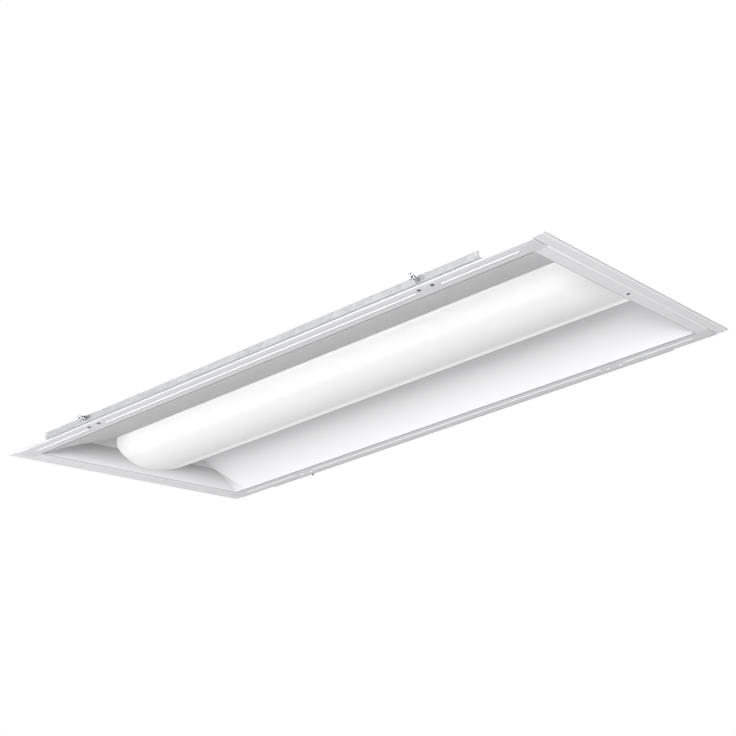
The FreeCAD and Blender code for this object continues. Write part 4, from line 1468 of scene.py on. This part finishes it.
@dataclass
class LightEngine:
    """Tray, light boards with their packages, and the braces over the back."""

    fixture: Fixture
    package_side: float = 3.5 * MM
    package_height: float = 0.45 * MM
    dome_radius: float = 1.4 * MM
    dome_rows: int = 4
    dome_segments: int = 12
    decimals: int = 6

    def packages(self) -> None:
        """Builds the light packages: a square base and a shallow round dome under each."""
        points = node_points("board_diodes")
        low, high = points.min(0), points.max(0)
        half = self.package_side / 2
        edges = np.unique(np.round(points[:, 0], self.decimals))
        middles = (edges[::2] + edges[1::2]) / 2
        rows = (low[1] + half, high[1] - half)
        bases, domes = Surface("package_bases"), Surface("package_domes")
        top = high[2]
        rim = top - self.package_height
        rise = rim - low[2]
        angle = np.linspace(0, QUARTER_TURN, self.dome_rows)
        dome = np.stack([self.dome_radius * np.cos(angle), rise * np.sin(angle)], axis=1)
        square = np.array([(-1, -1), (1, -1), (1, 1), (-1, 1)]) * half
        levels = np.array([(0.0, top), (1.0, top), (1.0, rim), (0.0, rim)])
        for x in middles:
            for y in rows:
                ring = levels[:, :1, None] * square[None] + [x, y]
                height = np.broadcast_to(levels[:, 1:, None], (4, 4, 1))
                bases.grid(np.concatenate([ring, height], axis=-1), closed=True)
                cap = revolved(dome, (x, y, rim), (0, 0, -1), self.dome_segments)
                domes.grid(cap, closed=True)
        show(bases.build(), BOARD_WHITE, Body.HOUSING, "board_diodes")
        show(domes.build(), PHOSPHOR, Body.HOUSING)

    def build(self) -> None:
        """Builds and dresses the light engine and the back."""
        self.packages()
        boards = [f"light_board_{label(side, end)}" for side in Side for end in End]
        soften(BOARD_WHITE, 0.1 * MM, *boards)
        dress_node("board_screws", ZINC)
        soften(CONNECTOR_WHITE, 0.2 * MM, "board_links")
        soften(GALVANISED, 0.15 * MM, "light_tray", "cross_brace_left", "cross_brace_right")


@dataclass
class WiringBay:
    """The bay on the back: its ends, cover, driver and terminals."""

    fixture: Fixture
    sheet: float = 0.8 * MM
    bend: float = 1.0 * MM
    edge_round: float = 0.15 * MM
    cover_steps: int = 25

    def cover(self) -> None:
        """Builds the cover: top, sides and feet in one folded sheet."""
        low, high = corners_of("driver_cover")
        side_half = corners_of("bay_end_right")[1][1] + self.sheet + self.fixture.fit
        foot = low[2] + self.sheet
        corners = [
            (low[1], foot), (-side_half, foot), (-side_half, high[2]),
            (side_half, high[2]), (side_half, foot), (high[1], foot),
        ]
        face, back = folded_sides(corners, -self.sheet, self.bend)
        cover = Surface("bay_lid")
        place = along_x(lambda z: np.full_like(z, high[0]))
        cover.sheet(face, back, place, np.linspace(-1, 1, self.cover_steps))
        show(cover.build(bevel=self.edge_round), COVER_ENAMEL, Body.COVER, "driver_cover")

    def build(self) -> None:
        """Builds the cover and dresses the rest."""
        self.cover()
        dress_node("cover_screws", ZINC)
        soften(GALVANISED, 0.12 * MM, "bay_end_left", "bay_end_right")
        soften(DRIVER_SHELL, 0.3 * MM, "driver_case")
        dress_node("driver_screws", ZINC)
        soften(TERMINAL_GREY, 0.4 * MM, "terminal_block")
        dress_node("ground_screw", EARTH_GREEN)
        soften(BLACK_NYLON, 0.3 * MM, "lead_bushing")


@dataclass(frozen=True)
class NutShape:
    """A wing nut's own shape, with its ears along X and its bore along Y."""

    ear_radius: float = 4.6 * MM
    ear_reach: float = 8.2 * MM
    ear_root: float = 2.0 * MM
    ear_neck: float = 2.9 * MM
    ear_seat: float = 1.6 * MM
    ear_thickness: float = 1.5 * MM
    ear_sweep_deg: float = 18.0
    ear_power: float = 0.45
    ear_rows: int = 34
    ear_points: int = 40
    dish_radius: float = 3.2 * MM
    dish_floor: float = 0.7
    dish_depth: float = 0.55 * MM
    hub_radius: float = 4.2 * MM
    hub_top_radius: float = 3.3 * MM
    hub_height: float = 4.6 * MM
    hub_skirt: Band = (1.2 * MM, 1.5 * MM)
    hub_points: int = 40
    bore: float = 1.55 * MM
    edge: float = 0.35 * MM

    def ear(self) -> np.ndarray:
        """One ear along +X: a blade whose closed section is carried from hub to tip.

        Half the blade's height follows the neck and then the round of the ear, and falls to
        zero at the tip. Its section is a rounded rectangle, and its outer face is dished.

        Returns:
            A grid of points, one row for each step from hub to tip.
        """
        tip = self.ear_reach + self.ear_radius
        way = np.sin(np.linspace(0, QUARTER_TURN, self.ear_rows))[:, None]
        x = self.ear_root + (tip - self.ear_root) * way
        circle = np.sqrt(np.clip(self.ear_radius ** 2 - (x - self.ear_reach) ** 2, 0, None))
        half = np.maximum(circle, np.where(x < self.ear_reach, self.ear_neck, 0.0))
        angle = round_angles(self.ear_points)[None]
        across, outward = (np.sign(part) * np.abs(part) ** self.ear_power
                           for part in (np.cos(angle), np.sin(angle)))
        z = half * across
        thin = np.minimum(half / (0.5 * self.ear_thickness), 1.0)
        y = self.ear_thickness * (0.5 + 0.5 * thin * outward)
        centre = np.hypot(x - self.ear_reach, z)
        floor = self.dish_floor * self.dish_radius
        dish = self.dish_depth * (1 - smooth_step(centre, floor, self.dish_radius))
        y = y - np.where(outward > 0, dish, 0.0)
        points = np.stack([np.broadcast_to(x, z.shape), y + self.ear_seat, z], axis=-1)
        return points @ np.array(Matrix.Rotation(math.radians(self.ear_sweep_deg), 3, "Z")).T

    def hub(self) -> np.ndarray:
        """Radius and height along the hub, from the top of the bore round to there again.

        Returns:
            Rows of radius and height.
        """
        bore, edge, foot, top = self.bore, self.edge, self.hub_radius, self.hub_top_radius
        height, (low, high) = self.hub_height, self.hub_skirt
        return np.array([
            (bore, height - edge), (bore + edge, height), (top - edge, height),
            (top, height - edge), (foot - 0.1 * edge, high), (foot, low), (foot, edge),
            (foot - edge, 0.0), (bore + edge, 0.0), (bore, edge), (bore, height - edge),
        ])


@dataclass
class SideMounting:
    """Side rails with brackets, clamping bolts, washers and wing nuts."""

    fixture: Fixture
    nut: NutShape = NutShape()
    nut_sharp_deg: float = 36.0
    bolt_sharp_deg: float = 50.0
    bolt_radius: float = 1.95 * MM
    bolt_segments: int = 28
    thread_pitch: float = 0.7 * MM
    thread_depth: float = 0.32 * MM
    rows_per_pitch: int = 8
    tip_share: float = 0.72
    head_length: float = 2.8 * MM
    chamfer: Band = (0.82, 0.35)

    def axis_point(self, corner: str) -> np.ndarray:
        """X and Z of a corner's bolt, from its washer."""
        low, high = corners_of(f"washer_{corner}")
        return (low + high)[[0, 2]] / 2

    def ear_turn(self, corner: str) -> float:
        """Angle of a nut's ears from +X towards +Z, as the direction of its widest spread.

        Args:
            corner: the corner's ending.

        Returns:
            The angle in radians.
        """
        flat = node_points(f"wing_nut_{corner}")[:, [0, 2]]
        spread = flat - flat.mean(0)
        values, vectors = np.linalg.eigh(spread.T @ spread)
        widest = vectors[:, values.argmax()]
        return math.atan2(widest[1], widest[0])

    def wing_nut(self, side: Side, end: End) -> None:
        """Builds one wing nut as it stands in the photograph.

        Args:
            side: the side that it is on.
            end: the end that it is at.
        """
        corner = label(side, end)
        x, z = self.axis_point(corner)
        seat = corners_of(f"wing_nut_{corner}")
        y = seat[0][1] if side is Side.FAR else seat[1][1]
        turn = np.array(Matrix.Rotation(-self.ear_turn(corner), 3, "Y"))
        nut = Surface(f"nut_{corner}")
        for flip in (1, -1):
            ear = (self.nut.ear() * [flip, 1, 1]) @ turn.T
            nut.grid(ear * [1, side.value, 1] + [x, y, z], closed=True)
        hub = revolved(self.nut.hub(), (x, y, z), (0, side.value, 0), self.nut.hub_points)
        nut.grid(hub, closed=True)
        piece = nut.build(self.nut_sharp_deg)
        show(piece, NUT_ZINC, f"clamp_nut_{corner}", f"wing_nut_{corner}")

    def shank(self, start: float, length: float) -> tuple[np.ndarray, np.ndarray]:
        """A threaded shank.

        Its radius follows a triangle wave of the distance along the axis in pitches, less the
        angle in turns, which makes one continuous thread.

        Args:
            start: distance of its foot from the middle of the fixture.
            length: its length.

        Returns:
            Points across the axis, as rows of X and Z round it, and the distance of each row.
        """
        rows = int(length / self.thread_pitch * self.rows_per_pitch)
        along = np.linspace(0, length, rows)[:, None]
        angle = round_angles(self.bolt_segments)[None]
        wave = np.abs(2 * ((along / self.thread_pitch - angle / FULL_TURN) % 1.0) - 1)
        taper = smooth_step(length - along, 0.0, self.thread_pitch)
        share = self.tip_share + (1 - self.tip_share) * taper
        radius = (self.bolt_radius - self.thread_depth * wave) * share
        across = np.stack([np.cos(angle), np.sin(angle)], axis=-1) * radius[..., None]
        return across, start + along[:, 0]

    def bolt(self, side: Side, end: End) -> None:
        """Builds one clamping bolt: chamfered hexagon head and a threaded shank.

        Args:
            side: the side that it is on.
            end: the end that it is at.
        """
        corner = label(side, end)
        x, z = self.axis_point(corner)
        low, high = corners_of(f"clamp_bolt_{corner}")
        inner, outer = (low[1], high[1]) if side is Side.FAR else (-high[1], -low[1])

        def placed(across: np.ndarray, out: np.ndarray) -> np.ndarray:
            """A grid of points about the bolt's axis, at distances out from the fixture."""
            y = np.broadcast_to(side.value * out[:, None], across.shape[:2])
            return np.stack([x + across[..., 0], y, z + across[..., 1]], axis=-1)

        start = inner + self.head_length
        shank = placed(*self.shank(start, outer - start))
        bolt = Surface(f"bolt_{corner}")
        bolt.grid(shank, closed=True)
        for row in (0, -1):
            centre = np.broadcast_to(shank[row].mean(0), shank[row].shape)
            bolt.grid(np.stack([shank[row], centre]), closed=True)
        flat, depth = self.chamfer
        levels = np.array([(0.0, 0.0), (flat, 0.0), (1.0, depth), (1.0, 1.0), (0.0, 1.0)])
        six = round_angles(6)
        ring = np.stack([np.cos(six), np.sin(six)], axis=1) * (high[0] - low[0]) / 2
        head = placed(levels[:, :1, None] * ring[None], inner + levels[:, 1] * self.head_length)
        bolt.grid(head, closed=True)
        show(bolt.build(self.bolt_sharp_deg), ZINC, Body.HOUSING, f"clamp_bolt_{corner}")

    def build(self) -> None:
        """Builds and dresses the mounting."""
        for side in Side:
            soften(GALVANISED, 0.2 * MM, f"side_rail_{side.name.lower()}")
            for end in End:
                corner = label(side, end)
                soften(GALVANISED, 0.2 * MM, f"rail_bracket_{corner}")
                soften(ZINC, 0.12 * MM, f"washer_{corner}")
                self.bolt(side, end)
                self.wing_nut(side, end)


@dataclass(frozen=True)
class Lamp:
    """One soft studio lamp."""

    name: str
    place: Colour
    target: Colour
    size: float
    watts: float

    def build(self) -> None:
        """Adds the lamp, aimed at its target."""
        data = bpy.data.lights.new(self.name, "AREA")
        data.shape = "DISK"
        data.size = self.size
        data.energy = self.watts
        lamp = bpy.data.objects.new(self.name, data)
        lamp.location = self.place
        aim = Vector(self.target) - Vector(self.place)
        lamp.rotation_euler = aim.to_track_quat("-Z", "Y").to_euler()
        bpy.context.scene.collection.objects.link(lamp)


@dataclass(frozen=True)
class View:
    """The photograph's camera: place, aim, roll and lens, and how far the picture was cropped."""

    place: Colour = (1.46009, -1.85917, -0.82601)
    target: Colour = (0.32433, -0.20191, 0.0)
    roll_deg: float = -7.25
    lens_mm: float = 66.89
    sensor_mm: float = 36.0
    shift: Band = (-0.0848, -0.0742)
    reach: float = 50.0

    def build(self) -> None:
        """Adds the camera and makes it the scene's."""
        data = bpy.data.cameras.new("camera")
        data.sensor_width = self.sensor_mm
        data.lens = self.lens_mm
        data.shift_x, data.shift_y = self.shift
        data.clip_end = self.reach
        camera = bpy.data.objects.new("camera", data)
        aim = Vector(self.target) - Vector(self.place)
        upright = aim.to_track_quat("-Z", "Y").to_matrix()
        roll = Matrix.Rotation(math.radians(self.roll_deg), 3, "Z")
        camera.matrix_world = Matrix.Translation(self.place) @ (upright @ roll).to_4x4()
        bpy.context.scene.collection.objects.link(camera)
        bpy.context.scene.camera = camera


@dataclass
class Studio:
    """Floor, surroundings, lamps and camera."""

    floor_height: float = -3.2
    floor_half: float = 9.0
    floor_cloud: Grain = Grain(1.2, 3.0)
    floor_tones: Band = (0.86, 0.90)
    floor_glow: float = 0.85
    ambient: float = 0.30
    dim: Band = (0.05, 0.35)
    lamps: tuple[Lamp, ...] = (
        Lamp("key", (1.67, -2.83, -0.26), (0.0, 0.0, 0.0), 0.9, 128.0),
        Lamp("fill", (-1.59, -2.75, -0.91), (0.0, 0.0, 0.0), 1.4, 66.0),
        Lamp("back", (0.8, 1.2, 2.6), (0.0, 0.0, 0.0), 2.2, 70.0),
    )

    def world(self) -> None:
        """Even surroundings: white to the camera and through glass, dim above in reflections."""
        world = bpy.data.worlds.new("studio")
        bpy.context.scene.world = world
        world.use_nodes = True
        graph = Graph(world.node_tree)
        even = graph.node("ShaderNodeBackground", None, {"Strength": self.ambient})
        white = graph.node("ShaderNodeBackground", None, {"Color": rgba(WHITE), "Strength": 1.0})
        way = graph.node("ShaderNodeTexCoord", output="Generated")
        up = graph.node("ShaderNodeSeparateXYZ", None, {"Vector": way}, output="Z")
        seen = self.seen(graph, 1.0 - up.step(*self.dim))
        both = graph.node("ShaderNodeMixShader", None, {0: seen, 1: even, 2: white})
        graph.node("ShaderNodeOutputWorld", None, {"Surface": both})

    @staticmethod
    def seen(graph: Graph, mirrored: Any = 1.0) -> Signal:
        """How much of the white background a ray sees.

        Args:
            graph: the graph that asks.
            mirrored: the share that reflections see.

        Returns:
            One for rays of the camera or through glass, the share for reflections, else zero.
        """
        camera = graph.node("ShaderNodeLightPath", output="Is Camera Ray")
        mirror = graph.node("ShaderNodeLightPath", output="Is Glossy Ray") * mirrored
        glass = graph.node("ShaderNodeLightPath", output="Is Transmission Ray")
        return camera.largest(mirror, glass)

    def floor(self) -> None:
        """A pale floor, far below, that keeps a faint shadow."""
        half = self.floor_half
        points = np.array([[(-half, -half), (half, -half)], [(-half, half), (half, half)]])
        level = np.full((2, 2, 1), self.floor_height)
        surface = Surface("floor")
        surface.grid(np.concatenate([points, level], axis=-1))
        floor = surface.build()
        paint = bpy.data.materials.new("floor_paint")
        paint.use_nodes = True
        graph = Graph(paint.node_tree)
        dark, light = (shaded(WHITE, share) for share in self.floor_tones)
        tone = graph.blend(graph.noise(self.floor_cloud), dark, light)
        body = graph.node("ShaderNodeBsdfDiffuse", None, {"Color": tone})
        glow = graph.node("ShaderNodeEmission", None, {"Color": rgba(WHITE), "Strength": 1.0})
        share = self.seen(graph) * self.floor_glow
        both = graph.node("ShaderNodeMixShader", None, {0: share, 1: body, 2: glow})
        graph.node("ShaderNodeOutputMaterial", None, {"Surface": both})
        floor.data.materials.append(paint)

    def build(self) -> None:
        """Builds the studio."""
        bpy.context.scene.view_settings.view_transform = "Standard"
        self.world()
        self.floor()
        for lamp in self.lamps:
            lamp.build()
        View().build()


def main() -> None:
    """Builds every sub-assembly."""
    logging.basicConfig(level=logging.INFO, format="%(message)s")
    Studio().build()
    fixture = Fixture()
    for assembly in (FaceFrame, Optics, LightEngine, WiringBay, SideMounting):
        LOG.info("building %s", assembly.__name__)
        assembly(fixture).build()


if __name__ == "__main__":
    main()
